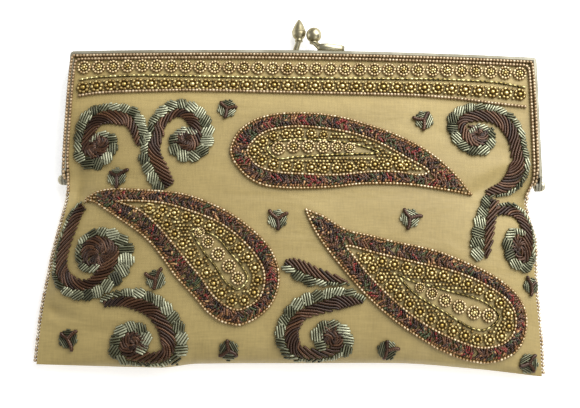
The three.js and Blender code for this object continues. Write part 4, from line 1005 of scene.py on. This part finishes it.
def border_width(outline, inner_line):
    """How deep the border is at each point of the outline: how far one can go in along the normal
    without coming nearer to another part of the outline or up to the inner line."""
    width = np.zeros(len(outline))
    free = np.ones(len(outline), bool)
    for step in np.arange(0.4, 9, 0.2):
        place = inset(outline, step)
        free &= (distance_to(place, outline) > step - 0.15) & ~inside(place, inner_line)
        free &= distance_to(place, inner_line) > 0.8
        width[free] = step
    return width


def braid(outline, inner_line):
    """Short strands of four tiny beads slant forward from both edges of the border to its middle, some
    more and some less, like a plaited rope. Red and green beads come in patches."""
    run = run_along(np.concatenate([outline, outline[:1]]))
    normal = inset(outline, 1.0) - outline
    columns = (*outline.T, *normal.T, border_width(outline, inner_line))
    columns = [np.append(column, column[0]) for column in columns]
    count = int(run[-1] / BORDER_PITCH)
    share = (np.arange(STRAND) + 0.5) / STRAND
    strands = []
    for edge in (0, 1):
        first = (np.arange(count)[:, None] + 0.5 * edge) * run[-1] / count
        at = (first + BRAID_LEAN * dice.uniform(-0.2, 1.7, (count, 1)) * share) % run[-1]
        x, y, in_x, in_y, width = (np.interp(at, run, column) for column in columns)
        lane = 0.62 * share if edge == 0 else 1 - 0.62 * share
        lane = np.clip(lane + dice.uniform(-0.05, 0.05, at.shape), 0, 1)
        reach = BORDER_START + (width - BORDER_START) * lane
        plan = np.stack([x + reach * in_x, y + reach * in_y], -1)
        strands.append((plan, width > BORDER_START + 0.5, np.broadcast_to(first / run[-1], at.shape)))
    plan, keep, along = (np.concatenate(column) for column in zip(*strands))
    keep &= np.linalg.norm(plan - outline[0], axis=2) > GOLD_TIP
    heading = unit(np.gradient(plan, axis=1))
    phase = along * round(run[-1] / MOTIF) % 1
    chance = 0.6 * dice.random((len(plan), 1)) + 0.4 * dice.random(keep.shape)
    tint = 0.47 * dice.random((len(plan), 1)) + 0.14 * dice.random(keep.shape)
    tint = np.clip(tint + 0.04 + 0.1 * np.sin(14 * np.pi * along + 2) * np.sin(26 * np.pi * along), 0, 0.69)
    tint = np.where((np.abs(phase - 0.5) < 0.2) & (chance < 0.34), GREEN, tint)
    tint = np.where((np.abs(phase - 0.85) < 0.16) & (chance < 0.33), RED, tint)
    # scattered pale tan beads stand in for glints: a painted highlight
    tint = np.where(chance > 0.9, PALE_GLINT_TAN, tint)
    tint[:count, 0] = np.where(chance[:count, 0] > 0.45, COPPER, tint[:count, 0])
    lift = 0.7 + 0.4 * np.sin(np.pi * (0.15 + 0.7 * share)) + dice.uniform(-0.12, 0.2, tint.shape)
    placed = sewn(plan[keep], heading[keep], lift[keep])
    return copies(iris_glass, TINY_SHAPE, placed, dice.uniform(1.0, 1.8, keep.sum()), 1.0, tint[keep])


across, up = np.meshgrid(np.arange(-110, 110, FILLER_APART), np.arange(-90, 40, FILLER_ROWS))
shift = FILLER_APART / 2 * (np.arange(len(across)) % 2)[:, None]
grid = np.stack([across + shift, up], -1).reshape(-1, 2)
for name, chart in PAISLEYS.items():
    outline = draped(np.concatenate([smooth_curve(chart["left"])[::-1], smooth_curve(chart["right"])]))
    inner_line = draped(smooth_curve(chart["inner"], 12, True))
    loop_line = draped(smooth_curve(chart["loop"], 12, True))
    rings = np.array(chart["rings"])
    ring_plan = draped(rings[:, :2])
    outer_plan, outer_way = spread(inset(outline, OUTLINE_INSET), SEED, True)
    clear = inside(outer_plan, outline) & (distance_to(outer_plan, outline) > OUTLINE_INSET - 0.1)
    outer_plan, outer_way = outer_plan[clear], outer_way[clear]
    inner_plan, inner_way = spread(inner_line, SEED, True)
    loop_plan, loop_way = spread(loop_line, TEARDROP_PITCH, True)
    # A flower keeps clear of the teardrop and of the inner line, and is smaller where there is less room.
    flower_plan, _ = spread(inset(inner_line, FLOWER_INSET), FLOWER_PITCH, True)
    flower_plan = flower_plan[
        (distance_to(flower_plan, loop_line) > 2.4) & (distance_to(flower_plan, inner_line) > 2.8)]
    flower_size = np.clip((distance_to(flower_plan, loop_line) - 0.2) / 2.9, 0.78, 0.95)
    # Gold beads fill the tip up to the border, and what is left between the two lines.
    tip = grid[inside(grid, outline) & (np.linalg.norm(grid - outline[0], axis=1) < GOLD_TIP + 1)]
    tip = tip[distance_to(tip, outer_plan) > 1.0]
    filler = grid[inside(grid, inner_line) & ~inside(grid, loop_line)]
    filler = filler[(distance_to(filler, inner_line) > 1.35) & (distance_to(filler, loop_line) > 1.2)]
    filler = filler[distance_to(filler, flower_plan) > 2.75]
    paisley = bead_piece(name + "_sewn", [
        stitched(amber_glass, SEED_SHAPE, outer_plan, outer_way, 0.95, OUTLINE_SIZE, OUTLINE_TINTS),
        stitched(amber_glass, SEED_SHAPE, inner_plan, inner_way, 0.95, OUTLINE_SIZE, OUTLINE_TINTS),
        stitched(amber_glass, SMALL_SHAPE, tip, None, 0.9, (1.3, 1.3), OUTLINE_TINTS),
        braid(outline, inner_line),
        *bead_flowers(flower_plan, flower_size),
        stitched(old_gold, SMALL_SHAPE, filler, None, 0.85, (1.3, 1.4), (0.1, 0.75)),
        stitched(olive_glass, BUGLE_SHAPE, loop_plan, loop_way, 0.7, (2.0, 1.1), (0, 0.8)),
        *ring_rosettes(ring_plan, rings[:, 2])])
    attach(paisley, "root")
    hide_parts(name)

# Scrolls: curling bands. Outside the curl lie overlapping petals of five or six parallel bugles,
# inside it long strings of tiny red-brown beads sweep at a shallow angle from the inner edge to the
# bugles.
STRING_THICK = 1.3
STRING_APART = 1.42
STRING_SLOPE = 0.52
STRING_LIFT = 0.75
STRING_ARCH = 0.2
STRING_TINTS = (0.25, 0.75)
SHORTEST_STRING = 1.2
ROSE_LIFT = 0.62
ROSE_TINTS = (0.2, 0.7)
PETAL = 4.7
PETAL_LENGTH = 6.4
PETAL_LEAN = 48
PETAL_SWAY = 30
ROD_LIFT = 0.92
ROD_APART = 1.08
ROD_THICK = 1.0
PETAL_SIDE_RODS = 4
# steps of a curve from row to row, along a string, and along a string of a rose
CURVE_STEPS = 40
STRING_STEPS = 33
ROSE_STEPS = 17
# x, y and reach of the rose of strings in the heart of each curl
HEARTS = {
    "scroll_horn_left": (-90.2, 15.1, 6), "scroll_horn_right": (-51.6, 18.9, 5.5),
    "scroll_right_upper": (76.8, 22.6, 5.5), "scroll_right_lower": (94.1, -26.5, 4),
    "scroll_left": (-86.7, -32.5, 8), "scroll_bottom_left": (-69.7, -70.3, 5.5),
    "scroll_bottom_centre": (13.1, -65.4, 5.5),
}
# side of the bugles, their tint, then x, y, width of the bugles and of the strings along the line
# between them
SCROLLS = {
    "scroll_horn_left": (-1, 0.48, [
        (-71, 15.6, 1, 1.6), (-71.4, 19.6, 3, 3), (-72.8, 24.6, 4.2, 4), (-75.6, 29, 4, 5.4),
        (-80, 31, 3.4, 6.2), (-86.4, 31.6, 2.8, 6.2), (-91.6, 29.6, 3.8, 5.6), (-94.8, 26, 4.2, 5.4),
        (-96.4, 21, 3.8, 4.6), (-97.2, 15.6, 2.8, 4.2), (-96, 11.6, 4.2, 3.6), (-92, 9.8, 5.2, 4),
        (-87.4, 11, 4.6, 4), (-84.9, 14.6, 3.8, 4.2), (-85.4, 18.4, 3.6, 3), (-88, 19.8, 1.8, 1.6),
        (-90.4, 18.8, 1.6, 1.2), (-91.6, 16.8, 1, 1)]),
    "scroll_horn_right": (1, 0.6, [
        (-59.4, -3.6, 4.4, 4.6), (-61.6, -0.4, 4.6, 5.2), (-64.6, 4.6, 4.4, 5.8), (-67.4, 10, 4, 5.6),
        (-68, 15.6, 2.4, 5.4), (-66.2, 21, 2.4, 5), (-65.2, 25.6, 2.8, 4.6), (-62, 29, 3.8, 4),
        (-58.4, 31.6, 4.4, 3.6), (-54, 32.8, 4.2, 3.8), (-50, 31.6, 4.2, 4.4), (-46.6, 29, 4.6, 5),
        (-44.8, 25, 5.2, 4.6), (-44.3, 20, 5.8, 4.8), (-45.2, 16, 5, 4.6), (-47.4, 13.6, 4.8, 4),
        (-51, 13.2, 5, 3.4), (-54.2, 15.6, 4.8, 2.6), (-54.9, 18.8, 3.4, 1.8), (-52.8, 21, 2.8, 1.2),
        (-50.2, 21.4, 2.6, 1.2), (-48.2, 20.2, 1.2, 1)]),
    "scroll_right_upper": (-1, 0.45, [
        (80.4, -4.9, 0.5, 2.2), (84, -4.4, 0.5, 4), (88.4, -3.4, 0.8, 5.2), (92.6, -0.6, 1.6, 6.4),
        (95.8, 3.2, 1.8, 7), (97.4, 7, 1.8, 7.2), (97.7, 10.6, 2, 6.6), (97, 14.2, 2.4, 5.4),
        (96.4, 18, 2.2, 5.4), (95.8, 22, 2.4, 5.8), (94.2, 26.2, 2.4, 6.4), (91.4, 30, 2.6, 6.2),
        (87.6, 32.4, 2.6, 5.8), (83, 33.8, 2.4, 5.4), (78, 34.1, 2.6, 5.2), (73.4, 33.2, 3.4, 4.8),
        (69.6, 31.2, 3.8, 4.2), (67.9, 28.2, 4.4, 3.8), (68.3, 24.4, 4.2, 4.2), (70.4, 20, 3.8, 4.6),
        (74.4, 17.2, 3.8, 4.2), (79.2, 17.6, 4, 4.2), (81.8, 20.4, 3.2, 3.2), (81.6, 23.4, 2.8, 2),
        (79, 25, 2.2, 1.2), (76.2, 24.6, 1.8, 1), (74.6, 22.8, 1, 0.8)]),
    "scroll_right_branch": (-1, 0.6, [
        (82, -5.6, 3.4, 4.4), (81, -10.4, 4, 4.2), (79.8, -15, 4.8, 4.4), (79, -20, 5.4, 4.4),
        (78.8, -25, 6, 3.6), (78.4, -29.4, 5.8, 3), (78.6, -32.2, 3.4, 2)]),
    "scroll_right_lower": (1, 0.5, [
        (84.4, -9.4, 0.8, 3.6), (90.4, -8.8, 1.2, 4.4), (95.6, -11.4, 1, 4.4), (98.8, -16.6, 0.6, 4.4),
        (100.2, -23, 0.5, 4.8), (99.6, -29.4, 1.2, 3.8), (96.6, -34, 3.8, 2.6), (92.8, -32.4, 4, 2.4),
        (91.2, -27, 4.6, 2.8), (91.6, -22.6, 3.6, 2), (93.6, -21.2, 2.4, 1.2), (95.6, -22.6, 1.2, 1)]),
    "scroll_left": (-1, 0.5, [
        (-96, -10.4, 0.5, 3.6), (-99.4, -14.4, 0.8, 4.8), (-102.2, -21, 0.6, 5.2), (-104.4, -29, 0.6, 5),
        (-105.6, -36, 0.6, 5.2), (-104.8, -42.4, 1.6, 5.8), (-101, -46.8, 3, 5.8), (-95.4, -48.6, 4, 5),
        (-90, -47.8, 4.6, 4.4), (-85.4, -45, 5.2, 5), (-81.4, -41, 6, 5.6), (-78.8, -36, 6.8, 5.8),
        (-78, -31.6, 6.4, 5.6), (-80.2, -27.6, 5.6, 5.2), (-84.6, -24.8, 3.8, 5.2), (-89.8, -24.8, 3, 4.8),
        (-93.8, -27.6, 2.2, 4.8), (-95, -32.4, 2, 4), (-93.4, -36.6, 2.8, 2.4), (-90.4, -38, 2.8, 1.6),
        (-87.8, -36.6, 1.4, 1.2)]),
    "scroll_bottom_left": (1, 0.5, [
        (-84.6, -53, 1.6, 2.4), (-80, -51, 2.2, 3.8), (-75, -50.2, 2.8, 4.6), (-70, -50.8, 3.8, 5.4),
        (-65, -52.2, 3.6, 5.8), (-61, -54.4, 4.2, 6), (-58, -58, 4.8, 5.8), (-55, -62, 4.8, 6.2),
        (-52.8, -67, 4.8, 6.6), (-52.6, -72, 5, 6.2), (-55, -76.2, 2.6, 4.8), (-60, -78.2, 1, 4.2),
        (-67, -78.2, 0.9, 4), (-72.8, -77, 2.2, 3.8), (-76.6, -73.6, 4.4, 4.2), (-76.6, -69.6, 4, 4),
        (-74.4, -66.4, 4.4, 3.6), (-70.8, -65.2, 4, 3.2), (-68.2, -67.2, 5, 2.4), (-68, -70.4, 4.4, 1.6),
        (-69.8, -72.4, 2.4, 1.2)]),
    "scroll_centre_leaf": (-1, 0.55, [
        (-7.4, -36.2, 1, 2.2), (-4, -37.2, 3, 4), (0, -39.2, 4, 4.8), (4, -41, 3.9, 4.6),
        (8, -42.4, 2.3, 4.4), (12.4, -43.4, 1.1, 3.8), (17, -43.8, 0.6, 2.4), (20.4, -43.6, 0.5, 1.2)]),
    "scroll_bottom_centre": (-1, 0.52, [
        (27, -51, 0.7, 1), (22, -49.2, 3, 4.4), (16, -48.7, 3.2, 6), (11, -50.4, 4.2, 5.4),
        (6, -52, 4.8, 5.2), (2, -53.8, 5.2, 4.8), (-1.4, -55.6, 4.4, 4.8), (-4, -58.6, 4.2, 5.4),
        (-6.2, -62, 3.6, 5.8), (-7, -66, 3.5, 6.2), (-6, -70.6, 3.4, 6), (-3.2, -74.2, 1.6, 5.4),
        (2.4, -75.6, 0.8, 4.4), (9, -75.4, 0.8, 3.6), (14.8, -73.8, 1.6, 3.4), (18, -71, 4, 3.8),
        (18.6, -67.8, 4.2, 4.2), (16.8, -65, 4.4, 3.6), (13, -63.8, 4.4, 3), (9.8, -65.4, 5.2, 2.2),
        (9.6, -68, 4.2, 1.4), (11.4, -69.8, 2.4, 1)]),
}


def rods(material, shape, start, end, lift, thickness, tint):
    """Rods between two ends in plan."""
    way = end - start
    length = np.linalg.norm(way, axis=1)
    keep = length > 0.5
    lift, tint = (np.broadcast_to(value, len(start))[keep] for value in (lift, tint))
    placed = sewn((start + end)[keep] / 2, way[keep] / length[keep, None], lift)
    return copies(material, shape, placed, length[keep], thickness, tint)


def strings(material, plan, lift, radius, tint, sides=6):
    """Strings laid on the panel: a ring of points round each place of each string, across its way and along
    the panel's normal, with a flat face at both ends. One tint for each string, with a painted highlight
    along its top; its beads meet at every second ring, which is thinner and gets less of the painted
    highlight, a painted shade between the beads."""
    count, steps = plan.shape[:2]
    heading = unit(np.gradient(plan, axis=1).reshape(-1, 2))
    centre, way, up = sewn(plan.reshape(-1, 2), heading, lift.ravel())
    side = np.cross(up, way)
    angle = 2 * np.pi * np.arange(sides) / sides
    ring = np.cos(angle)[:, None] * side[:, None] + np.sin(angle)[:, None] * up[:, None]
    bead = 1 - 0.16 * (np.arange(steps) % 2)
    points = (centre[:, None] + (radius * bead).reshape(-1, 1, 1) * ring).reshape(-1, 3)
    # painted highlight along the top of each string, weaker at the thin rings as painted shade between beads
    crown = np.clip(np.sin(angle), 0, 1) * (1 - 0.6 * (np.arange(steps) % 2))[:, None]
    number = np.arange(len(points)).reshape(count, steps, sides)
    closed = np.concatenate([number, number[:, :, :1]], 2)
    quads = np.stack([closed[:, :-1, :-1], closed[:, :-1, 1:], closed[:, 1:, 1:], closed[:, 1:, :-1]], -1)
    ends = np.concatenate([number[:, 0, ::-1], number[:, -1]])
    loops = np.concatenate([quads.ravel(), ends.ravel()])
    sizes = np.concatenate([np.full(quads.size // 4, 4), np.full(len(ends), sides)])
    return material, points, loops, sizes, np.repeat(tint, steps * sides), np.tile(crown.ravel(), count)


red_brown = bead_finish("red_brown_string", (24, 14, 7), (80, 50, 29), (176, 130, 92), 0.2, 0.3)
bugle_glass = bead_finish("grey_green_bugle", (40, 40, 28), (106, 106, 78), (192, 193, 162), 0.24, 0.5)


def scroll_batches(side, shade, rows):
    """The strings are parallel slanting lines in the flattened band: how far each is from the line
    between the bands falls with the distance travelled. Each petal is an ellipse outside that line,
    filled with parallel chords that lean back; one side of it lies over the next petal."""
    rows = np.array(rows, float)
    line = draped(smooth_curve(rows[:, :2], CURVE_STEPS))
    at = np.arange(len(line)) / CURVE_STEPS
    numbered = np.column_stack([np.arange(len(rows)), rows])
    bugle_width, string_width = (smooth_line(numbered, column, at) for column in (3, 4))
    run = run_along(line)
    heading = unit(np.gradient(line, axis=0))

    def off(at, reach):
        """Points beside the line: `reach` is positive on the bugles' side."""
        x, y, way_x, way_y = (np.interp(at, run, column) for column in (*line.T, *heading.T))
        way = unit(np.stack([way_x, way_y], -1))
        left = np.stack([-way[..., 1], way[..., 0]], -1)
        return np.stack([x, y], -1) + side * np.asarray(reach)[..., None] * left

    lane = np.maximum.accumulate(string_width + STRING_SLOPE * run)
    lanes = np.arange(0.6, lane[-1], 1) * STRING_APART
    lanes = lanes[lanes < lane[-1] - 0.3]
    begin = np.where(lanes < string_width[0], 0, np.interp(lanes, lane, run))
    finish = np.minimum(lanes / STRING_SLOPE, run[-1])
    long_enough = finish - begin > SHORTEST_STRING
    begin, finish, lanes = begin[long_enough], finish[long_enough], lanes[long_enough]
    share = np.linspace(0, 1, STRING_STEPS)
    string_at = begin[:, None] + (finish - begin)[:, None] * share
    reach = STRING_SLOPE * string_at - lanes[:, None]
    reach = np.clip(reach, -np.interp(string_at, run, string_width), 0) - 0.3
    string_plan = off(string_at, reach)
    ends = np.minimum(1, 6 * np.minimum(share, 1 - share) + 0.55)
    string_radius = STRING_THICK / 2 * ends * np.ones_like(string_at)
    string_lift = STRING_LIFT + STRING_ARCH * np.sin(np.pi * share) + 0.12 * dice.random((len(lanes), 1))
    string_tint = dice.uniform(*STRING_TINTS, len(lanes))

    middle = off(run, 0.5 * bugle_width)
    middle_run = run_along(middle)
    petals = max(2, int(round(middle_run[-1] / PETAL)))
    petal_at = np.interp((np.arange(petals) + 0.5) / petals * middle_run[-1], middle_run, run)
    half_width = np.interp(petal_at, run, bugle_width)[:, None] / 2
    centre = off(petal_at, half_width[:, 0] - 0.1)[:, None]
    petal_way = off(petal_at + 0.5, half_width[:, 0]) - off(petal_at - 0.5, half_width[:, 0])
    petal_way = unit(petal_way)[:, None]
    petal_out = side * np.stack([-petal_way[..., 1], petal_way[..., 0]], -1)
    lean = np.radians(PETAL_LEAN + PETAL_SWAY * np.sin(2.4 * np.arange(petals) + rows[0, 0]))[:, None]
    across = np.arange(-PETAL_SIDE_RODS, PETAL_SIDE_RODS + 1)[None, :] * ROD_APART
    long_way, deep_way = -np.cos(lean), np.sin(lean)
    length, depth = PETAL_LENGTH / 2, half_width + 0.35
    curve = (long_way / length) ** 2 + (deep_way / depth) ** 2
    skew = across * long_way * deep_way * (1 / length**2 - 1 / depth**2)
    room = 1 - across**2 * ((deep_way / length) ** 2 + (long_way / depth) ** 2)
    spare = np.sqrt(np.maximum(skew**2 + curve * room, 0))
    first, last = (-skew - spare) / curve, (-skew + spare) / curve
    rod_ends = [
        centre + (across * deep_way + end * long_way)[..., None] * petal_way
        + (end * deep_way - across * long_way)[..., None] * petal_out for end in (first, last)]
    rod_lift = ROD_LIFT + 0.3 * across * deep_way / length
    petal_tint = shade - 0.05 + 0.3 * np.sin(1.9 * np.arange(petals) + 0.3 * rows[0, 1])
    # painted light and shade: petals whose outer side faces the upper right, towards the soft box, are
    # lighter, those facing the lower left darker
    petal_tint += 0.14 * (petal_out[:, 0] @ np.array([0.7, 0.7]))
    rod_tint = np.clip(petal_tint[:, None] + dice.uniform(-0.22, 0.22, spare.shape), 0, 1)
    return [
        strings(red_brown, string_plan, string_lift, string_radius, string_tint),
        rods(bugle_glass, BUGLE_SHAPE, *(end.reshape(-1, 2) for end in rod_ends), rod_lift.ravel(), ROD_THICK,
             rod_tint.ravel()),
    ]


def rose(heart, side):
    """Strings that leave the heart of a curl all round and bend with the curl: the angle grows with the
    distance from the heart."""
    x, y, reach = heart
    count = int(2 * np.pi * 0.62 * reach / STRING_APART)
    share = np.linspace(0.08, 1, ROSE_STEPS)
    angle = 2 * np.pi * (np.arange(count) + dice.uniform(-0.3, 0.3, count)) / count
    angle = angle[:, None] - side * 0.7 * share
    far = reach * dice.uniform(0.8, 1.05, (count, 1)) * share
    plan = draped(np.stack([x + far * np.cos(angle), y + far * np.sin(angle)], -1).reshape(-1, 2))
    radius = STRING_THICK / 2 * np.minimum(1, 2.4 * share + 0.25) * np.ones((count, 1))
    lift = ROSE_LIFT + STRING_ARCH * np.sin(np.pi * share) + 0.1 * dice.random((count, 1))
    plan = plan.reshape(count, ROSE_STEPS, 2)
    return strings(red_brown, plan, lift, radius, dice.uniform(*ROSE_TINTS, count))


for name, (side, shade, rows) in SCROLLS.items():
    batches = scroll_batches(side, shade, rows)
    if name in HEARTS:
        batches.append(rose(HEARTS[name], side))
    scroll = bead_piece(name + "_sewn", batches)
    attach(scroll, "root")
    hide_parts(name)

# Trefoil florets: three leaves of parallel bugles in a disc, with three arms of thick red-brown bead
# string laid over them like a Y.
LEAF_ROD_APART = 0.8
LEAF_ROD_THICK = 0.78
LEAF_ROD_LIFT = 0.74
LEAF_SIDE_RODS = 7
LEAF_STEPS = 121
LEAF_TINTS = (0.28, 0.64)
# y below which floret leaves get painted shade
PAINTED_SHADE_BELOW_Y = -60
ARM_THICK = 1.9
ARM_BEND = np.radians(9)
ARM_LIFT = 1.2
ARM_STEPS = 13
# x, y, radius of the leaves, then the heading in degrees and the length of the three arms
FLORETS = np.array([
    (-33.5, 33, 4.1, 133, 4.3, 3, 4.6, 255, 4.8), (-80.8, 1.6, 4.1, 145, 4, 30, 6.2, 268, 5.4),
    (53.6, 29, 4.1, 167, 5.4, 56, 4.2, 261, 5.1), (-10.4, -16.2, 4.1, 132, 5.5, 28, 5.3, 270, 5),
    (47, -15, 4.1, 120, 4.9, 8, 5.6, 254, 5.3), (-62.2, -43.2, 4.1, 148, 5.6, 61, 5.6, 256, 4.4),
    (-98.6, -69, 4.1, 137, 4.2, 41, 5.5, 290, 5.6), (-30.2, -72.6, 4.1, 204, 4.8, 95, 4.5, 328, 4.2),
    (37, -71.6, 4.1, 243, 3.6, 87, 4, 4, 5.4), (98.8, -43.6, 3.4, 112, 4.6, 30, 2.6, 262, 4.6),
    (97, -76.6, 4.1, 190, 4.4, 48, 4.8, 300, 4.2),
])


def leaf_rods(middle, radius, first, last):
    """Parallel rods that fill a leaf between two arms: the disc's part between the arms' headings, cut
    by lines along the chord from arm to arm. Gives both ends of each rod."""
    opening = (first - last) % (2 * np.pi)
    heading = last + opening / 2
    way = heading + np.pi / 2
    lines = np.arange(-LEAF_SIDE_RODS, LEAF_SIDE_RODS + 1)[:, None] * LEAF_ROD_APART
    steps = np.linspace(-radius, radius, LEAF_STEPS)[None, :]
    x = steps * np.cos(way) - lines * np.sin(way)
    y = steps * np.sin(way) + lines * np.cos(way)
    turned_away = (np.arctan2(y, x) - heading + np.pi) % (2 * np.pi) - np.pi
    filled = (np.hypot(x, y) < radius) & (np.abs(turned_away) < opening / 2)
    row = np.flatnonzero(filled.any(1))
    begin = filled[row].argmax(1)
    finish = filled.shape[1] - 1 - filled[row][:, ::-1].argmax(1)
    return tuple(middle + np.stack([x[row, column], y[row, column]], -1) for column in (begin, finish))


for number, (x, y, radius, *arms) in enumerate(FLORETS):
    middle = draped([(x, y)])[0]
    arm_turn = np.radians(arms[::2])
    arm_length = np.array(arms[1::2])[:, None, None]
    ends = [leaf_rods(middle, radius, arm_turn[i], arm_turn[(i + 1) % 3]) for i in range(3)]
    # each leaf has a tint of its own, and those low on the bag are painted darker, a painted shade where the
    # bag curves down to the fold
    leaf_tint = dice.uniform(*LEAF_TINTS, 3) - 0.15 * (y < PAINTED_SHADE_BELOW_Y)
    leaf_tint = np.repeat(leaf_tint, [len(end[0]) for end in ends])
    rod_start, rod_end = (np.concatenate(column) for column in zip(*ends))
    rod_tint = np.clip(leaf_tint + dice.uniform(-0.25, 0.25, len(leaf_tint)), 0, 1)
    share = np.linspace(0, 1, ARM_STEPS)
    arm_angle = arm_turn[:, None] + ARM_BEND * np.sin(np.pi * share)
    arm_way = np.stack([np.cos(arm_angle), np.sin(arm_angle)], -1)
    arm_plan = middle + share[:, None] * arm_length * arm_way
    arm_radius = ARM_THICK / 2 * np.minimum(1, 5 * (1 - share) + 0.6) * np.ones((3, 1))
    floret = bead_piece(f"floret_{number + 1}_sewn", [
        strings(
            red_brown, arm_plan, np.full((3, ARM_STEPS), ARM_LIFT), arm_radius, dice.uniform(0.4, 0.65, 3)),
        rods(bugle_glass, BUGLE_SHAPE, rod_start, rod_end, LEAF_ROD_LIFT, LEAF_ROD_THICK, rod_tint)])
    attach(floret, "root")
    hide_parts(f"floret_{number + 1}")

# Edge strings: one string of pearly seed beads along each side seam, from the hinge to the fold,
# couched down beside the stitching.
STRING_TOP = 77.0
STRING_BOTTOM = 1.0
STRING_OFF = 1.05
SEAM_PLACES = 49
pearl_glass = bead_finish("pearl_seed", (150, 122, 88), (206, 184, 150), (246, 238, 220), 0.16, 0.55)
for name, column, side in (("edge_beads_left", 1, -1), ("edge_beads_right", 2, 1)):
    rise = np.linspace(STRING_BOTTOM, STRING_TOP, SEAM_PLACES)
    edge = smooth_line(EDGES, column, rise)
    height = (smooth_line(SEAM, 1, rise) + smooth_line(SEAM, 2, rise)) / 2
    seam = np.stack([edge + side * STRING_OFF, plan_y(edge, rise), height], -1)
    plan, heading = spread(seam[:, :2], SEED)
    centre = np.concatenate([plan, np.interp(plan[:, 1], seam[:, 1], seam[:, 2])[:, None]], 1)
    way = np.concatenate([heading, np.zeros((len(plan), 1))], 1)
    up = np.tile([0.0, 0.0, 1.0], (len(plan), 1))
    edging = bead_piece(name + "_sewn", [
        copies(
            pearl_glass, SEED_SHAPE, (centre, way, up), SEED_LENGTH, SEED, dice.uniform(0.1, 1, len(plan)))])
    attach(edging, "root")
    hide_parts(name)

# Table: a plain white sheet, much larger than the picture.
TABLE_HALF = 3000.0
table_points = np.array([(-1, -1, 0), (1, -1, 0), (1, 1, 0), (-1, 1, 0)]) * TABLE_HALF
white, _, _ = new_finish(
    "white_table", Roughness=0.9, Base_Color=(0.93, 0.93, 0.93, 1), Emission_Color=(1, 1, 1, 1),
    Emission_Strength=0.5)
table = mesh_object("table", table_points, np.arange(4), np.array([4]), [white])

# Light: a soft box beyond the bag's upper right corner, a weak fill near its fold, a low white card at
# its left and a dim white room.
LIGHT_AIM = (0, -0.01, 0.01)
ROOM_LIGHT = 0.36
# name, place, width and power
LIGHTS = [
    ("soft_box", (0.28, 0.29, 0.38), 0.6, 4.7),
    ("fill", (0.3, -0.45, 0.4), 0.4, 0.9),
    ("side_card", (-0.3, 0.05, 0.05), 0.14, 0.11),
]
for name, spot, size, power in LIGHTS:
    lamp = bpy.data.lights.new(name, "AREA")
    lamp.size = size
    lamp.energy = power
    light = bpy.data.objects.new(name, lamp)
    light.location = spot
    aim = np.array(spot) - LIGHT_AIM
    light.rotation_euler = (
        np.arctan2(np.hypot(aim[0], aim[1]), aim[2]), 0, np.arctan2(aim[1], aim[0]) + np.pi / 2)
    bpy.context.scene.collection.objects.link(light)
room = bpy.data.worlds.new("room")
room.use_nodes = True
walls = room.node_tree.nodes["Background"].inputs
walls["Color"].default_value = (1, 1, 1, 1)
walls["Strength"].default_value = ROOM_LIGHT
bpy.context.scene.world = room
bpy.context.scene.view_settings.view_transform = "Standard"

# Camera: almost straight down on the bag, a little from below, turned by less than a degree.
SENSOR = 36
FOCUS_PIXELS = 1035.0
IMAGE_WIDTH = 580.0
CAMERA_AWAY = 0.45
ELEVATION = np.radians(80)
ROLL = np.radians(0.8)
AIM = (np.array([-5.1, -9.5, 14.0]) + BAG_TO_ROW) * MM
back_way = np.array([0, -np.cos(ELEVATION), np.sin(ELEVATION)])
level = np.array([1.0, 0, 0])
upright = np.cross(back_way, level)
right = level * np.cos(ROLL) + upright * np.sin(ROLL)
upward = np.cross(back_way, right)
eye = bpy.data.cameras.new("camera")
eye.sensor_width = SENSOR
eye.lens = SENSOR * FOCUS_PIXELS / IMAGE_WIDTH
eye.clip_start = 0.01
camera = bpy.data.objects.new("camera", eye)
turned_axes = np.eye(4)
turned_axes[:3, 0], turned_axes[:3, 1], turned_axes[:3, 2] = right, upward, back_way
turned_axes[:3, 3] = AIM + CAMERA_AWAY * back_way
camera.matrix_world = Matrix(turned_axes.tolist())
bpy.context.scene.collection.objects.link(camera)
bpy.context.scene.camera = camera
